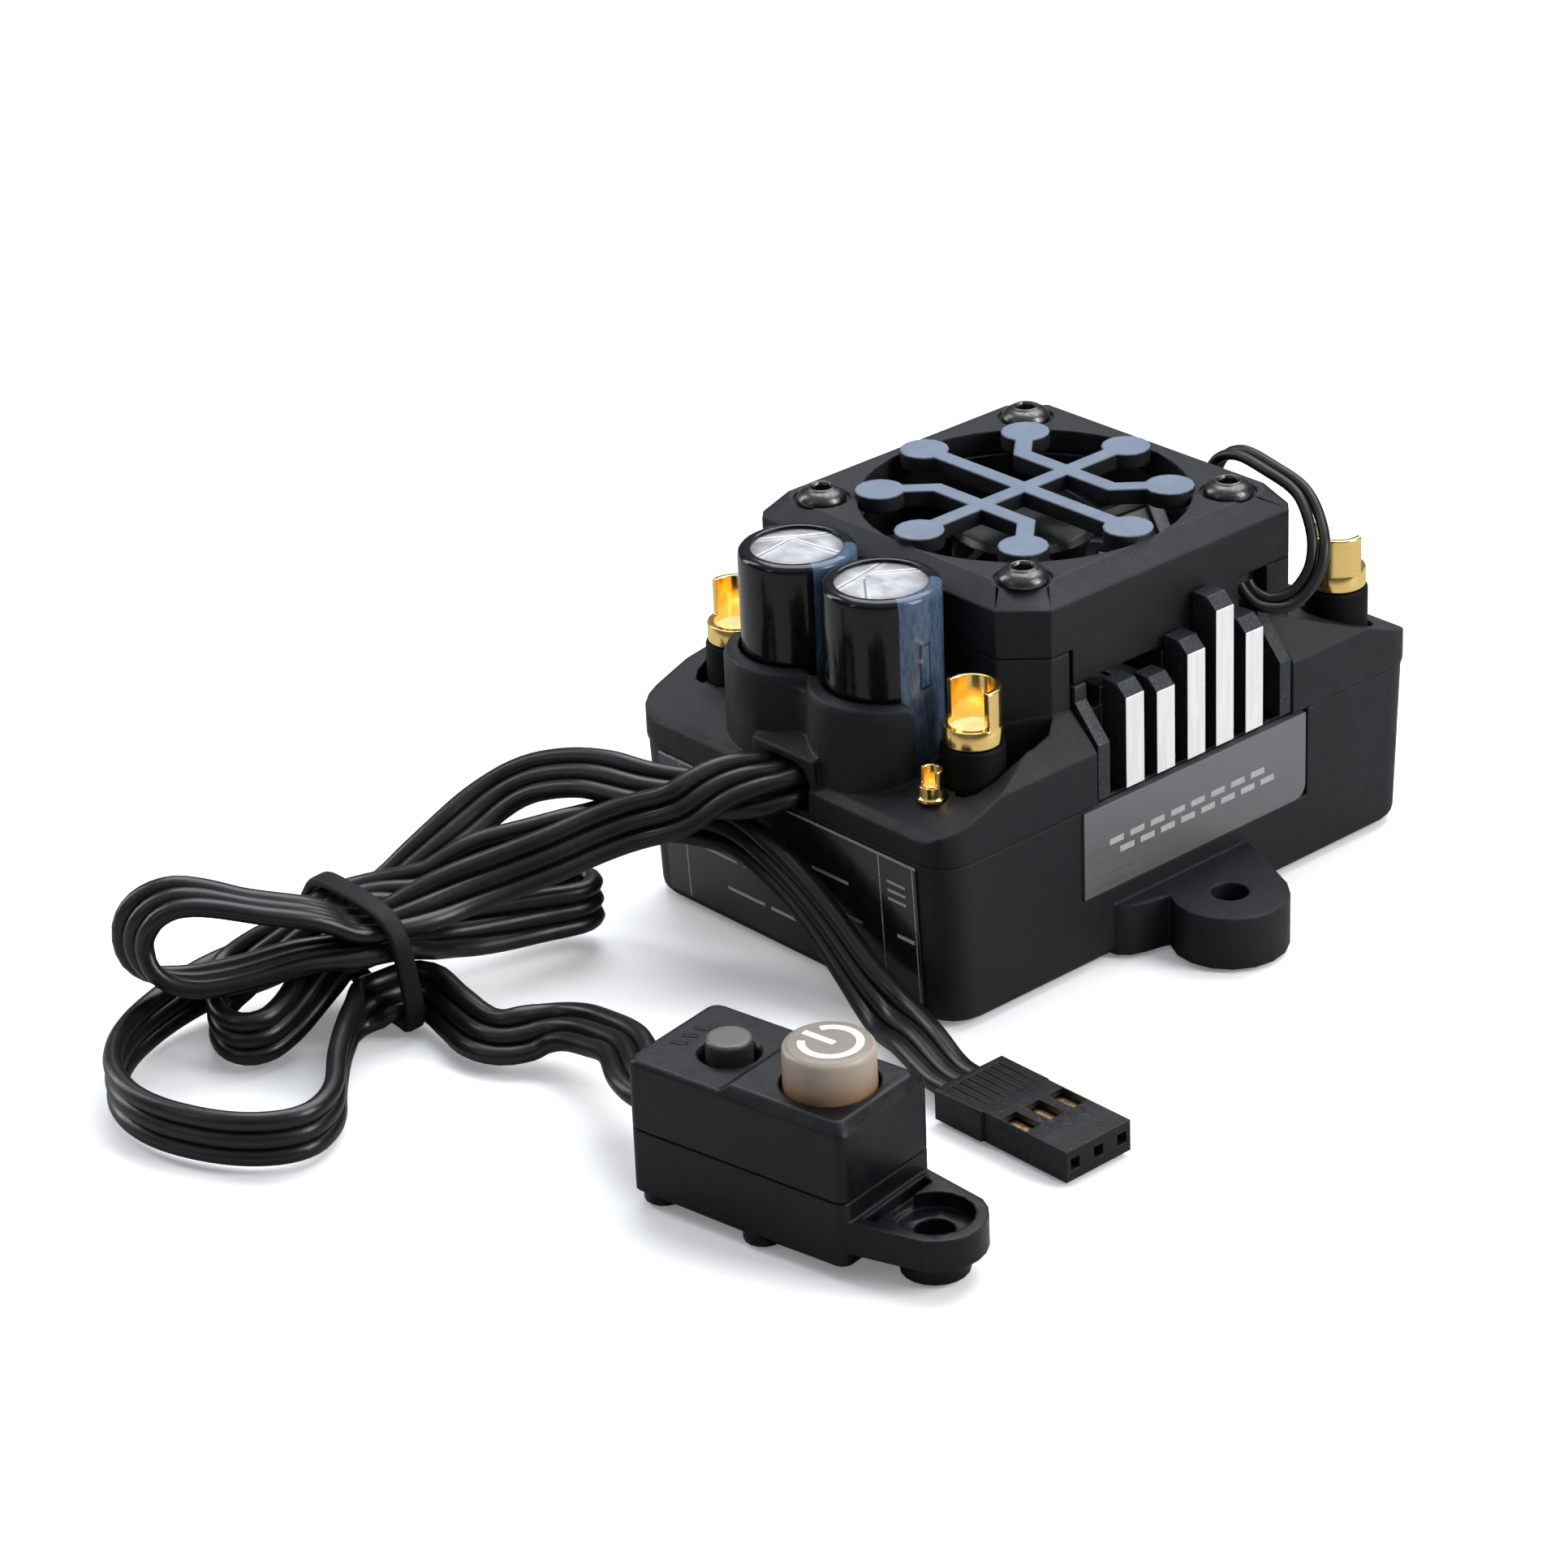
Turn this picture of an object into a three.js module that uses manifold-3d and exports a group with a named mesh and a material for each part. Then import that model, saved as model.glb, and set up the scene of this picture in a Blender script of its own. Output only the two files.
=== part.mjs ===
// Brushless electronic speed controller: a fan-cooled case with a heat sink, a receiver
// lead with a three-way plug, and a switch pod on its own lead.
// Millimetres, +Z up.  Origin: centre of the case's underside.
// Front is -Y: capacitors, battery posts and leads.  Rear is +Y: three motor posts.
// Left is -X, right is +X: the badge is on the right wall.
import * as THREE from 'three';
import { mergeVertices } from 'three/addons/utils/BufferGeometryUtils.js';
import Module from 'manifold-3d';

const wasm = await Module();
wasm.setup();

// ---------------------------------------------------------------- shared dimensions
const SIDES = [-1, 1];
const BELOW = -1;                          // through cuts run from below the part ...
const ABOVE = 40;                          // ... to above it

const CASE = { halfX: 19.05, halfY: 28.15, corner: 3 };   // outline at the seam
const FOOT = { halfX: 18.85, halfY: 27.35, z: 0.75 };     // outline just above the underside
const LOWER_INSET = 0.12;                  // lower shell inside the upper one at the seam
const SEAM = { z: 14.65, gap: 0.12 };
const LOWER_TOP = SEAM.z - SEAM.gap / 2;
const UPPER_BOTTOM = SEAM.z + SEAM.gap / 2;
const BOSSES = [[-15.9, -25.2], [15.9, -25.2], [-7.6, 25.1], [7.6, 25.1]];

const TOWER = { half: 16, bigChamfer: 3.2, smallChamfer: 0.9, top: 27.45 };
const FAN = { half: 14.9, corner: 3.6, hole: 12, bottom: 24.9, top: 31.2 };
const FAN_GAP = 0.15;                      // clearance round the fan

const CAPACITOR = { radius: 5, x: 5.03, y: -21.1, bottom: 14.3, top: 33.95 };
const BATTERY_POSTS = { x: 14.2, y: -20.1 };
const MOTOR_POSTS = { x: 14.9, y: 22.3 };
const DATA_POST = [13.9, -24.5];
const BOARD_TOP = 10.1;                    // foot of the posts and capacitor legs
const BADGE = { y0: -12.5, y1: 14, z0: 6.5, z1: 14.4, x0: 18.35, x1: 19.12, corner: 1.2 };

// ---------------------------------------------------------------- finishes
const FINISH = {
  lowerCase: { color: 0x17181b, roughness: 0.62 },
  upperCase: { color: 0x17181b, roughness: 0.6 },
  fanCover: { color: 0x17181b, roughness: 0.58 },
  fanFrame: { color: 0x1a1b1d, roughness: 0.5 },
  bronze: { color: 0xb08d57, roughness: 0.4, metalness: 1 },
  windings: { color: 0x8a5a2b, roughness: 0.5, metalness: 0.8 },
  rotor: { color: 0x1d1e20, roughness: 0.42 },
  steel: { color: 0xc8c8c8, roughness: 0.25, metalness: 1 },
  heatSink: { color: 0x24262a, roughness: 0.45, metalness: 0.85 },
  thermalPad: { color: 0x9aa3ab, roughness: 0.9 },
  board: { color: 0x12301f, roughness: 0.5, metalness: 0.1 },
  mosfet: { color: 0x1b1b1b, roughness: 0.5, metalness: 0.1 },
  sensorPort: { color: 0xe8e6df, roughness: 0.5 },
  aluminium: { color: 0xd9d9dc, roughness: 0.3, metalness: 1 },
  capacitorSleeve: { color: 0x0d0e10, roughness: 0.15 },
  gold: { color: 0xd9a02b, roughness: 0.22, metalness: 1 },
  postCollar: { color: 0x121214, roughness: 0.7 },
  coverScrew: { color: 0x1b1b1d, roughness: 0.3, metalness: 0.9 },
  caseScrew: { color: 0x1b1b1d, roughness: 0.35, metalness: 0.9 },
  label: { color: 0x0a0b0c, roughness: 0.25 },
  badge: { color: 0x5b5d60, roughness: 0.38, metalness: 0.8 },
  fanWire: { color: 0x131315, roughness: 0.4 },
  switchCase: { color: 0x16171a, roughness: 0.5 },
  tactSwitch: { color: 0x2a2a2a, roughness: 0.4, metalness: 0.3 },
  setButton: { color: 0x6b6663, roughness: 0.55 },
  powerButton: { color: 0xc9c2b5, roughness: 0.45 },
  plug: { color: 0x141416, roughness: 0.5 },
  contact: { color: 0xd9a84a, roughness: 0.25, metalness: 1 },
  cable: { color: 0x0e0e10, roughness: 0.35 },
  rubber: { color: 0x0c0c0d, roughness: 0.85 },
};

// ---------------------------------------------------------------- outlines
function arc(x, y, radius, from, to, steps) { // angles in degrees, both ends included
  return Array.from({ length: steps + 1 }, (_, i) => {
    const angle = THREE.MathUtils.degToRad(from + (to - from) * i / steps);
    return [x + radius * Math.cos(angle), y + radius * Math.sin(angle)];
  });
}

const circle = (radius, sides, x = 0, y = 0) => arc(x, y, radius, 0, 360, sides).slice(0, -1);

function roundedRect(halfX, halfY, radius, steps) {
  const quadrants = [[1, 1, 0], [-1, 1, 90], [-1, -1, 180], [1, -1, 270]];
  return quadrants.flatMap(([sx, sy, start]) =>
    arc(sx * (halfX - radius), sy * (halfY - radius), radius, start, start + 90, steps));
}

// Rectangle with one chamfer at front right and rear left, another at the other two corners.
function chamferedRect(x0, x1, y0, y1, chamfer, other) {
  return [
    [x1, y0 + chamfer], [x1, y1 - other], [x1 - other, y1], [x0 + chamfer, y1],
    [x0, y1 - chamfer], [x0, y0 + other], [x0 + other, y0], [x1 - chamfer, y0],
  ];
}

const mirrored = (points, side) => points.map(([x, y]) => [side * x, y]);
const symmetric = half => [...mirrored(half, -1), ...[...half].reverse()];
const corners = half => SIDES.flatMap(sx => SIDES.map(sy => [sx * half, sy * half]));

const fanSquare = gap => roundedRect(FAN.half + gap, FAN.half + gap, FAN.corner + gap, 4);
const towerPlan = chamferedRect(
  -TOWER.half, TOWER.half, -TOWER.half, TOWER.half, TOWER.bigChamfer, TOWER.smallChamfer);
const fanHoles = corners(FAN.hole);

// ---------------------------------------------------------------- geometry helpers
const shapeOf = points => new THREE.Shape(points.map(([x, y]) => new THREE.Vector2(x, y)));

function signedVolume(position, faces) {
  const vertex = i => new THREE.Vector3().fromBufferAttribute(position, i);
  let sum = 0;
  for (let i = 0; i < faces.length; i += 3) {
    sum += vertex(faces[i]).dot(vertex(faces[i + 1]).cross(vertex(faces[i + 2])));
  }
  return sum / 6;
}

function clean(geometry) {                 // position only, welded, facing out
  const bare = geometry.clone();
  for (const name of Object.keys(bare.attributes)) {
    if (name !== 'position') bare.deleteAttribute(name);
  }
  const welded = mergeVertices(bare, 1e-4);
  const position = welded.getAttribute('position');
  const faces = [];
  for (let i = 0; i < welded.index.count; i += 3) {
    const [a, b, c] = welded.index.array.slice(i, i + 3);
    if (a !== b && b !== c && a !== c) faces.push(a, b, c);
  }
  if (signedVolume(position, faces) < 0) faces.reverse();
  const result = new THREE.BufferGeometry();
  result.setAttribute('position', position);
  result.setIndex(faces);
  return result;
}

function solid(geometry) {
  const closed = clean(geometry);
  return new wasm.Manifold(new wasm.Mesh({
    numProp: 3,
    vertProperties: closed.attributes.position.array,
    triVerts: new Uint32Array(closed.index.array),
  }));
}

function geometryOf(body) {
  const mesh = body.getMesh();
  const geometry = new THREE.BufferGeometry();
  const positions = new Float32Array(mesh.vertProperties);
  geometry.setAttribute('position', new THREE.BufferAttribute(positions, 3));
  geometry.setIndex(Array.from(mesh.triVerts));
  return geometry;
}

// Skin over rings of 3D points; the ends are fan-capped unless the rings close on themselves.
function skin(rings, closed = false) {
  const size = rings[0].length;
  const last = (rings.length - 1) * size;
  const faces = [];
  for (let i = 0; i < rings.length - (closed ? 0 : 1); i++) {
    const here = i * size;
    const next = ((i + 1) % rings.length) * size;
    for (let j = 0; j < size; j++) {
      const k = (j + 1) % size;
      faces.push(here + j, here + k, next + j, here + k, next + k, next + j);
    }
  }
  for (let j = 1; !closed && j < size - 1; j++) {
    faces.push(0, j + 1, j, last, last + j, last + j + 1);
  }
  const geometry = new THREE.BufferGeometry();
  geometry.setAttribute('position', new THREE.Float32BufferAttribute(rings.flat(2), 3));
  geometry.setIndex(faces);
  return geometry;
}

const level = (z, outline, scaleX = 1, scaleY = 1) =>
  outline.map(([x, y]) => [x * scaleX, y * scaleY, z]);

function prism(points, z0, z1) {
  const options = { depth: z1 - z0, bevelEnabled: false, steps: 1 };
  return new THREE.ExtrudeGeometry(shapeOf(points), options).translate(0, 0, z0);
}

const Z_TO_X = new THREE.Matrix4().set(0, 0, 1, 0, 1, 0, 0, 0, 0, 1, 0, 0, 0, 0, 0, 1);
const Y_TO_Z = new THREE.Matrix4().set(1, 0, 0, 0, 0, 0, -1, 0, 0, 1, 0, 0, 0, 0, 0, 1);
const prismX = (pointsYZ, x0, x1) => prism(pointsYZ, x0, x1).applyMatrix4(Z_TO_X);
const prismY = (pointsXZ, y0, y1) => prism(pointsXZ, -y1, -y0).applyMatrix4(Y_TO_Z);

function box(x0, x1, y0, y1, z0, z1) {     // x and y bounds may come in either order
  return new THREE.BoxGeometry(Math.abs(x1 - x0), Math.abs(y1 - y0), z1 - z0)
    .translate((x0 + x1) / 2, (y0 + y1) / 2, (z0 + z1) / 2);
}

const cylinder = (radius, z0, z1, sides, x, y) => prism(circle(radius, sides, x, y), z0, z1);

// Profile points are [radius, z]; it starts and ends on the axis or closes on itself.
function lathe(profile, sides, x = 0, y = 0) {
  const points = profile.map(([radius, z]) => new THREE.Vector2(radius, z));
  return new THREE.LatheGeometry(points, sides).applyMatrix4(Y_TO_Z).translate(x, y, 0);
}

// Round bar of rectangular section, between two radii
const ringProfile = (inner, outer, z0, z1) =>
  [[inner, z0], [outer, z0], [outer, z1], [inner, z1], [inner, z0]];

// The same primitives as solids, and their combinations
const block = (...bounds) => solid(box(...bounds));
const rod = (...sizes) => solid(cylinder(...sizes));
const slab = (...sizes) => solid(prism(...sizes));
const rodsAt = (places, ...sizes) => places.map(([x, y]) => rod(...sizes, x, y));
const join = (...solids) => solids.reduce((a, b) => a.add(b));
const cut = (body, ...tools) => tools.reduce((a, b) => a.subtract(b), body);

const group = new THREE.Group();

function put(name, shape, finish, parent = group) { // shape: a geometry or a solid
  const source = shape instanceof THREE.BufferGeometry ? shape : geometryOf(shape);
  const geometry = clean(source).toNonIndexed();
  geometry.computeVertexNormals();
  const mesh = new THREE.Mesh(geometry, new THREE.MeshStandardMaterial(finish));
  mesh.name = name;
  parent.add(mesh);
}

// ---------------------------------------------------------------- lower case
const EAR = { x: 24.1, y: -0.6, radius: 5, thickness: 4.7, hole: 1.6 };
const DATA_BORE = 0.9;

const earOutline = [                       // right mounting ear, concave flare at its front
  [18.0, -9.0], [19.05, -8.8], [19.9, -8.0], [20.4, -6.7], [20.75, -5.2],
  ...arc(EAR.x, EAR.y, EAR.radius, -128, 62, 9),
  [20.2, 6.6], [18.0, 7.4],
];

function lowerShell() {                    // wall tapering to a rounded-off underside
  const halfX = CASE.halfX - LOWER_INSET;
  const halfY = CASE.halfY - LOWER_INSET;
  const footX = FOOT.halfX / halfX;
  const footY = FOOT.halfY / halfY;
  const outline = roundedRect(halfX, halfY, CASE.corner, 4);
  return solid(skin([
    level(0, outline, footX * 0.965, footY * 0.978),
    level(0.25, outline, footX * 0.985, footY * 0.992),
    level(FOOT.z, outline, footX, footY),
    level(LOWER_TOP, outline),
  ]));
}

function lowerCase() {
  const ears = SIDES.map(side => slab(mirrored(earOutline, side), 0, EAR.thickness));
  const cavity = slab(roundedRect(17.35, 26.35, 1.8, 2), 1.6, ABOVE);
  const body = join(
    cut(join(lowerShell(), ...ears), cavity), ...rodsAt(BOSSES, 1.95, 1, LOWER_TOP, 12));
  return cut(body,
    ...rodsAt(BOSSES, 1.15, BELOW, ABOVE, 10),
    ...rodsAt(BOSSES, 1.75, BELOW, 1.5, 12),
    rod(DATA_BORE, 8, ABOVE, 10, ...DATA_POST),
    ...SIDES.map(side => rod(EAR.hole, BELOW, 8, 20, side * EAR.x, EAR.y)),
    block(18.2, 21, BADGE.y0 - 0.12, BADGE.y1 + 0.45, BADGE.z0 - 0.12, 15), // badge recess
    block(-4.6, 4.6, 24, 30, 3.8, 8.35));  // sensor socket opening in the rear wall
}
put('lower_case', lowerCase(), FINISH.lowerCase);

// ---------------------------------------------------------------- upper case
const RIM = { y: CASE.halfY - 0.6, z: 17.3 };
const DECK = { slope: 0.37, endY: 14 };    // the deck rises from the rim towards the tower
const COLLAR = { radius: 6.45, top: 25.2, bottom: 16, front: -28.1, cutY: -23.4 };
const WINDOW = { y0: -10.85, y1: 12.45 };

function deck() {
  const deckTop = RIM.z + DECK.slope * (RIM.y - DECK.endY);
  const lengthwise = symmetric([[28.3, 14], [28.3, 16.5], [RIM.y, RIM.z], [DECK.endY, deckTop]]);
  const crosswise = symmetric([[19.3, 14], [19.3, 19.1], [18.6, 20.0], [15.5, 22.9]]);
  return slab(roundedRect(CASE.halfX, CASE.halfY, CASE.corner, 4), UPPER_BOTTOM, 26)
    .intersect(solid(prismX(lengthwise, -30, 30)))
    .intersect(solid(prismY(crosswise, -40, 40)));
}

function collars() {                       // capacitor collars, open towards the tower
  const { radius, top, bottom } = COLLAR;
  const profile = [
    [0, bottom], [radius, bottom], [radius, top - 0.85],
    [radius - 0.25, top - 0.25], [radius - 0.85, top], [0, top],
  ];
  const web = [[-1, -26.05], [-0.45, -25.85], [0.45, -25.85], [1, -26.05], [1.3, -23], [-1.3, -23]];
  const hood = [[-28, 16], [-24, 16], [-24, 20.8], [-25.2, 20.45], [-28, 19.45]];
  return join(
    ...SIDES.map(side => solid(lathe(profile, 32, side * CAPACITOR.x, CAPACITOR.y))),
    slab(web, bottom, top - 1),
    solid(prismX(hood, -3.7, 3.7)),        // hood over the lead outlet
  ).intersect(block(-30, 30, COLLAR.front, COLLAR.cutY, BELOW, ABOVE));
}

function batteryWell(side) {               // deep well round a battery post
  const outline = [
    [10.9, -16.02], [10.9, -22.4], [12.1, -22.7], [13.2, -22.4], [14.6, -22.4],
    [15.3, -23.3], [16.2, -23.2], [16.9, -22.4], [17.3, -20.8], [17.3, -16.4],
    [16.9, -14.2], [16.02, -12.9], [12.9, -16.02],
  ];
  return cut(slab(mirrored(outline, side), 15.75, ABOVE), slab(towerPlan, BELOW, ABOVE));
}

function postOpenings() {
  const battery = SIDES.map(side => [side * BATTERY_POSTS.x, BATTERY_POSTS.y]);
  const motor = [-1, 0, 1].map(side => [side * MOTOR_POSTS.x, MOTOR_POSTS.y]);
  return [
    ...SIDES.map(batteryWell),
    ...rodsAt(battery, 3, BELOW, ABOVE, 18),
    ...rodsAt(motor, 3.15, BELOW, ABOVE, 20),
    rod(0.85, BELOW, ABOVE, 12, ...DATA_POST),
    rod(1.35, 18.38, ABOVE, 16, ...DATA_POST),
  ];
}

function sideWindow(side) {                // leaves round pillars at the fan's screw holes
  const { y0, y1 } = WINDOW;
  const pillars = SIDES.map(end => [side * FAN.hole, end * FAN.hole]);
  return join(
    cut(block(side * 11.6, side * 21, y0, y1, BELOW, 24.3),
      ...rodsAt(pillars, 2.2, BELOW, ABOVE, 12)),
    block(side * 14.6, side * 21, y0, y1, 20, ABOVE));
}

function upperCase() {
  const wells = SIDES.map(side => [side * CAPACITOR.x, CAPACITOR.y]);
  const body = cut(join(deck(), slab(towerPlan, 16, TOWER.top), collars()),
    ...rodsAt(wells, CAPACITOR.radius + 0.16, BELOW, ABOVE, 32),
    block(-1.2, 1.2, -24.6, CAPACITOR.y, BELOW, ABOVE));
  const outlet = symmetric([[3.1, 14], [3.1, 17.5], [2.5, 18.4], [1.3, 18.8]]);
  const hollow = cut(block(-17.4, 17.4, -26.4, 26.4, 14, 15.35),
    ...rodsAt(BOSSES, 2.1, BELOW, ABOVE, 12));
  return cut(body,
    ...postOpenings(),
    slab(chamferedRect(-14.3, 14.3, -14.3, 14.3, 7.2, 7.2), BELOW, ABOVE), // tower interior
    slab(fanSquare(FAN_GAP), FAN.bottom - 0.12, ABOVE),                    // fan seat
    ...SIDES.map(sideWindow),
    ...rodsAt(fanHoles, 1.35, 17, ABOVE, 8),
    solid(prismY(outlet, -30, -24.5)),     // lead outlet through the front wall
    hollow,                                // shallow hollow underneath, round the bosses
    ...rodsAt(BOSSES, 1, BELOW, 16.5, 10));
}
put('upper_case', upperCase(), FINISH.upperCase);

// ---------------------------------------------------------------- fan cover with its grille
const COVER = { bottom: TOWER.top + 0.1, top: 33.25, chamfer: 1.5, skirt: 24.4, opening: 14 };
const GRILLE = { bottom: 32.5, top: 33.9, bar: 1.5, dot: 2.1, ring: 12.1, diagonal: 8.55 };

function grilleBar(points) {               // a polyline with mitred sides
  const path = points.map(([x, y]) => new THREE.Vector2(x, y));
  const headings = path.slice(1).map((point, i) => point.clone().sub(path[i]).normalize());
  const left = [];
  const right = [];
  path.forEach(({ x, y }, i) => {
    const before = headings[Math.max(i - 1, 0)];
    const after = headings[Math.min(i, headings.length - 1)];
    const along = before.clone().add(after).normalize();
    const reach = GRILLE.bar / 2 / along.dot(before);
    left.push([x - along.y * reach, y + along.x * reach]);
    right.unshift([x + along.y * reach, y - along.x * reach]);
  });
  return slab([...right, ...left], GRILLE.bottom, GRILLE.top);
}

function grille() {
  const { ring, diagonal } = GRILLE;
  const dots = [[ring, 0], [-ring, 0], [0, ring], [0, -ring], ...corners(diagonal)];
  const cranked = SIDES.map(side => grilleBar([
    [-diagonal, side * diagonal], [-5.3, side * 5], [5.3, side * 5], [diagonal, side * diagonal],
  ]));
  return join(
    grilleBar([[0, -ring], [0, ring]]),
    grilleBar([[-ring, 0], [ring, 0]]),
    ...cranked,
    ...rodsAt(dots, GRILLE.dot, GRILLE.bottom, GRILLE.top, 16));
}

function fanCover() {
  const shell = solid(skin([
    level(COVER.bottom, towerPlan),
    level(COVER.top - COVER.chamfer, towerPlan),
    level(COVER.top, chamferedRect(-15, 14, -14, 15.2, 2.6, 1)),
  ]));
  const skirts = SIDES.map(side =>
    block(side * 15.2, side * TOWER.half, -10.4, 9, COVER.skirt, COVER.bottom + 1));
  const hollowed = cut(join(shell, ...skirts),
    slab(fanSquare(FAN_GAP), COVER.skirt - 1, FAN.top + 0.1),
    rod(COVER.opening, BELOW, ABOVE, 40));
  return cut(hollowed.add(grille()),
    ...rodsAt(fanHoles, 2.42, 32.95, ABOVE, 18),
    ...rodsAt(fanHoles, 1.4, BELOW, ABOVE, 8));
}
put('fan_cover', fanCover(), FINISH.fanCover);

// ---------------------------------------------------------------- fan
const BLADES = { count: 7, root: 5.8, length: 7.6, thickness: 0.8, bottom: 26.45, height: 3.7 };
const BLADE_ANGLE = { start: 0.06, perHeight: 0.15, perRadius: 0.02 }; // radians, radians per mm

function fanFrame() {
  const plateTop = FAN.bottom + 0.8;
  const spoke = block(3, 14.2, -1, 1, FAN.bottom, plateTop);
  const rim = cut(slab(fanSquare(0), FAN.bottom, FAN.top), rod(13.6, BELOW, ABOVE, 32));
  const body = join(
    rim,
    rod(6, FAN.bottom, plateTop, 24),
    ...[90, 210, 330].map(angle => spoke.rotate([0, 0, angle])),
    rod(2.2, FAN.bottom + 0.3, FAN.bottom + 4, 16));
  return cut(body,
    rod(1.6, FAN.bottom + 0.4, ABOVE, 16),
    ...rodsAt(fanHoles, 1.45, BELOW, ABOVE, 8));
}

function fanStator() {                     // ring with four diagonal slots
  const slot = block(3.4, 6, -0.35, 0.35, BELOW, ABOVE);
  return cut(rod(4.7, 26.3, 28.7, 24),
    rod(2.4, BELOW, ABOVE, 16),
    ...[45, 135, 225, 315].map(angle => slot.rotate([0, 0, angle])));
}

function fanBlade(index) {                 // pitched blade: a bent box swept with height
  const { count, root, length, thickness, bottom, height } = BLADES;
  const blade = box(0, length, -thickness / 2, thickness / 2, 0, height);
  const position = blade.attributes.position;
  for (let i = 0; i < position.count; i++) {
    const radius = root + position.getX(i);
    const z = position.getZ(i);
    const angle = BLADE_ANGLE.start + (index / count) * 2 * Math.PI
      + (z - height / 2) * BLADE_ANGLE.perHeight
      + position.getY(i) / radius
      + (radius - 6) * BLADE_ANGLE.perRadius;
    position.setXYZ(i, radius * Math.cos(angle), radius * Math.sin(angle), bottom + z);
  }
  return solid(blade);
}

function fanRotor() {
  const hub = solid(lathe([
    [0, 29.9], [5.3, 29.9], [5.3, 26.2], [6.2, 26.2], [6.2, 30.3], [5.7, 30.8], [0, 30.8],
  ], 24));
  const blades = Array.from({ length: BLADES.count }, (_, i) => fanBlade(i));
  return cut(join(hub, ...blades), rod(0.72, 29.5, 30.4, 12));
}

put('fan_frame', fanFrame(), FINISH.fanFrame);
put('fan_bearing', lathe(ringProfile(0.85, 1.5, 25.4, 28.8), 16), FINISH.bronze);
put('fan_stator', fanStator(), FINISH.windings);
put('fan_rotor', fanRotor(), FINISH.rotor);
put('fan_shaft', cylinder(0.66, 25.8, 30.3, 14), FINISH.steel);

// ---------------------------------------------------------------- heat sink
const BAR = { face: 19, back: 16.35, root: 15.9, width: 2.1, bottom: 14.95, crossTop: 23.9 };
const BARS = [[-6.4, 23.1], [-2.8, 22.4], [0.8, 24.5], [4.2, 27.3], [7.75, 24.1]]; // y, face top z
const END_FINS = { y: [-9.95, 11.6], halfWidth: 0.65, face: BAR.face - 0.05 };
const FIN_ROOT = 14.2;                     // fins start inside the base plate

function sinkBar([y, top]) {               // cross bar with an upright at each side
  const { face, back, root, bottom, crossTop } = BAR;
  const y0 = y - BAR.width / 2;
  const y1 = y + BAR.width / 2;
  const ledge = crossTop > top ? top - 1.5 : 22.6;
  const profile = [
    [root, bottom], [face, bottom], [face, top], [face - 1, top + 1],
    [back, top + 1], [back, ledge], [root, ledge],
  ];
  return join(
    block(-16.1, 16.1, y0, y1, FIN_ROOT, Math.min(top, crossTop)),
    ...SIDES.map(side => solid(prismY(mirrored(profile, side), y0, y1))));
}

function endFin(y) {
  const { face, halfWidth } = END_FINS;
  const profile = [
    [14.9, BAR.bottom], [face, BAR.bottom], [face, 19.9], [16.35, 22.9],
    [16.35, 24.3], [15.6, 24.3], [14.9, 22],
  ];
  return join(
    block(-8.6, 8.6, y - halfWidth, y + halfWidth, FIN_ROOT, 23.6),
    ...SIDES.map(side =>
      solid(prismY(mirrored(profile, side), y - halfWidth, y + halfWidth))));
}

function heatSink() {
  const [frontFin, rearFin] = END_FINS.y;
  const { halfWidth } = END_FINS;
  return join(
    block(-15.6, 15.6, -13.6, 13.6, 11.9, 14.3),
    ...BARS.map(sinkBar),
    ...END_FINS.y.map(endFin),
    // bridge behind the bars on each side
    ...SIDES.map(side =>
      block(side * 14.9, side * 16.2, frontFin - halfWidth, rearFin + halfWidth, 14, 21.6)),
    // short fins beyond the end fins
    ...[-12.6, 13].map(y => block(-7.4, 7.4, y - 0.5, y + 0.5, FIN_ROOT, 23.6)));
}
put('heat_sink', heatSink(), FINISH.heatSink);

// ---------------------------------------------------------------- boards and semiconductors
function caseBoard(halfX, halfY, z0, z1) { // board notched round the case bosses
  return cut(slab(roundedRect(halfX, halfY, 1.2, 2), z0, z1),
    ...rodsAt(BOSSES, 2.2, BELOW, ABOVE, 10));
}

put('thermal_pad', box(-14, 14, -12, 12, 11.2, 11.85), FINISH.thermalPad);
put('power_board', caseBoard(16.9, 25.8, 8.4, 10), FINISH.board);
[-9.5, 0, 9.5].flatMap(x => [-6, 6].map(y => [x, y])).forEach(([x, y], i) => {
  put(`mosfet_${i + 1}`, box(x - 3, x + 3, y - 2.6, y + 2.6, 10.05, 11.1), FINISH.mosfet);
});
put('control_board', caseBoard(16.2, 25.2, 2.6, 3.8), FINISH.board);

const sensorPort = cut(
  block(-4.4, 4.4, 22, 27.6, 3.95, 8.2),
  block(-3.7, 3.7, 23.2, 30, 4.7, 7.5));
put('sensor_port', sensorPort, FINISH.sensorPort);

// ---------------------------------------------------------------- capacitors
function capacitorCan(x) {                 // can and its two legs
  const { y, bottom, top } = CAPACITOR;
  const profile = [[0, bottom], [4.55, bottom], [4.55, top - 0.25], [0, top - 0.25]];
  const legs = [[x - 2.5, y], [x + 2.5, y]];
  return join(
    solid(lathe(profile, 22, x, y)), ...rodsAt(legs, 0.35, BOARD_TOP - 0.05, bottom + 0.2, 8));
}

function capacitorSleeve(x) {              // turned in over the rim of the can
  const { radius, y, bottom, top } = CAPACITOR;
  const outer = radius - 0.02;
  return lathe([
    [4.65, bottom + 0.1], [outer, bottom + 0.1], [outer, top - 0.5], [radius - 0.4, top],
    [3.9, top], [3.9, top - 0.16], [4.65, top - 0.16], [4.65, bottom + 0.1],
  ], 22, x, y);
}

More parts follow.
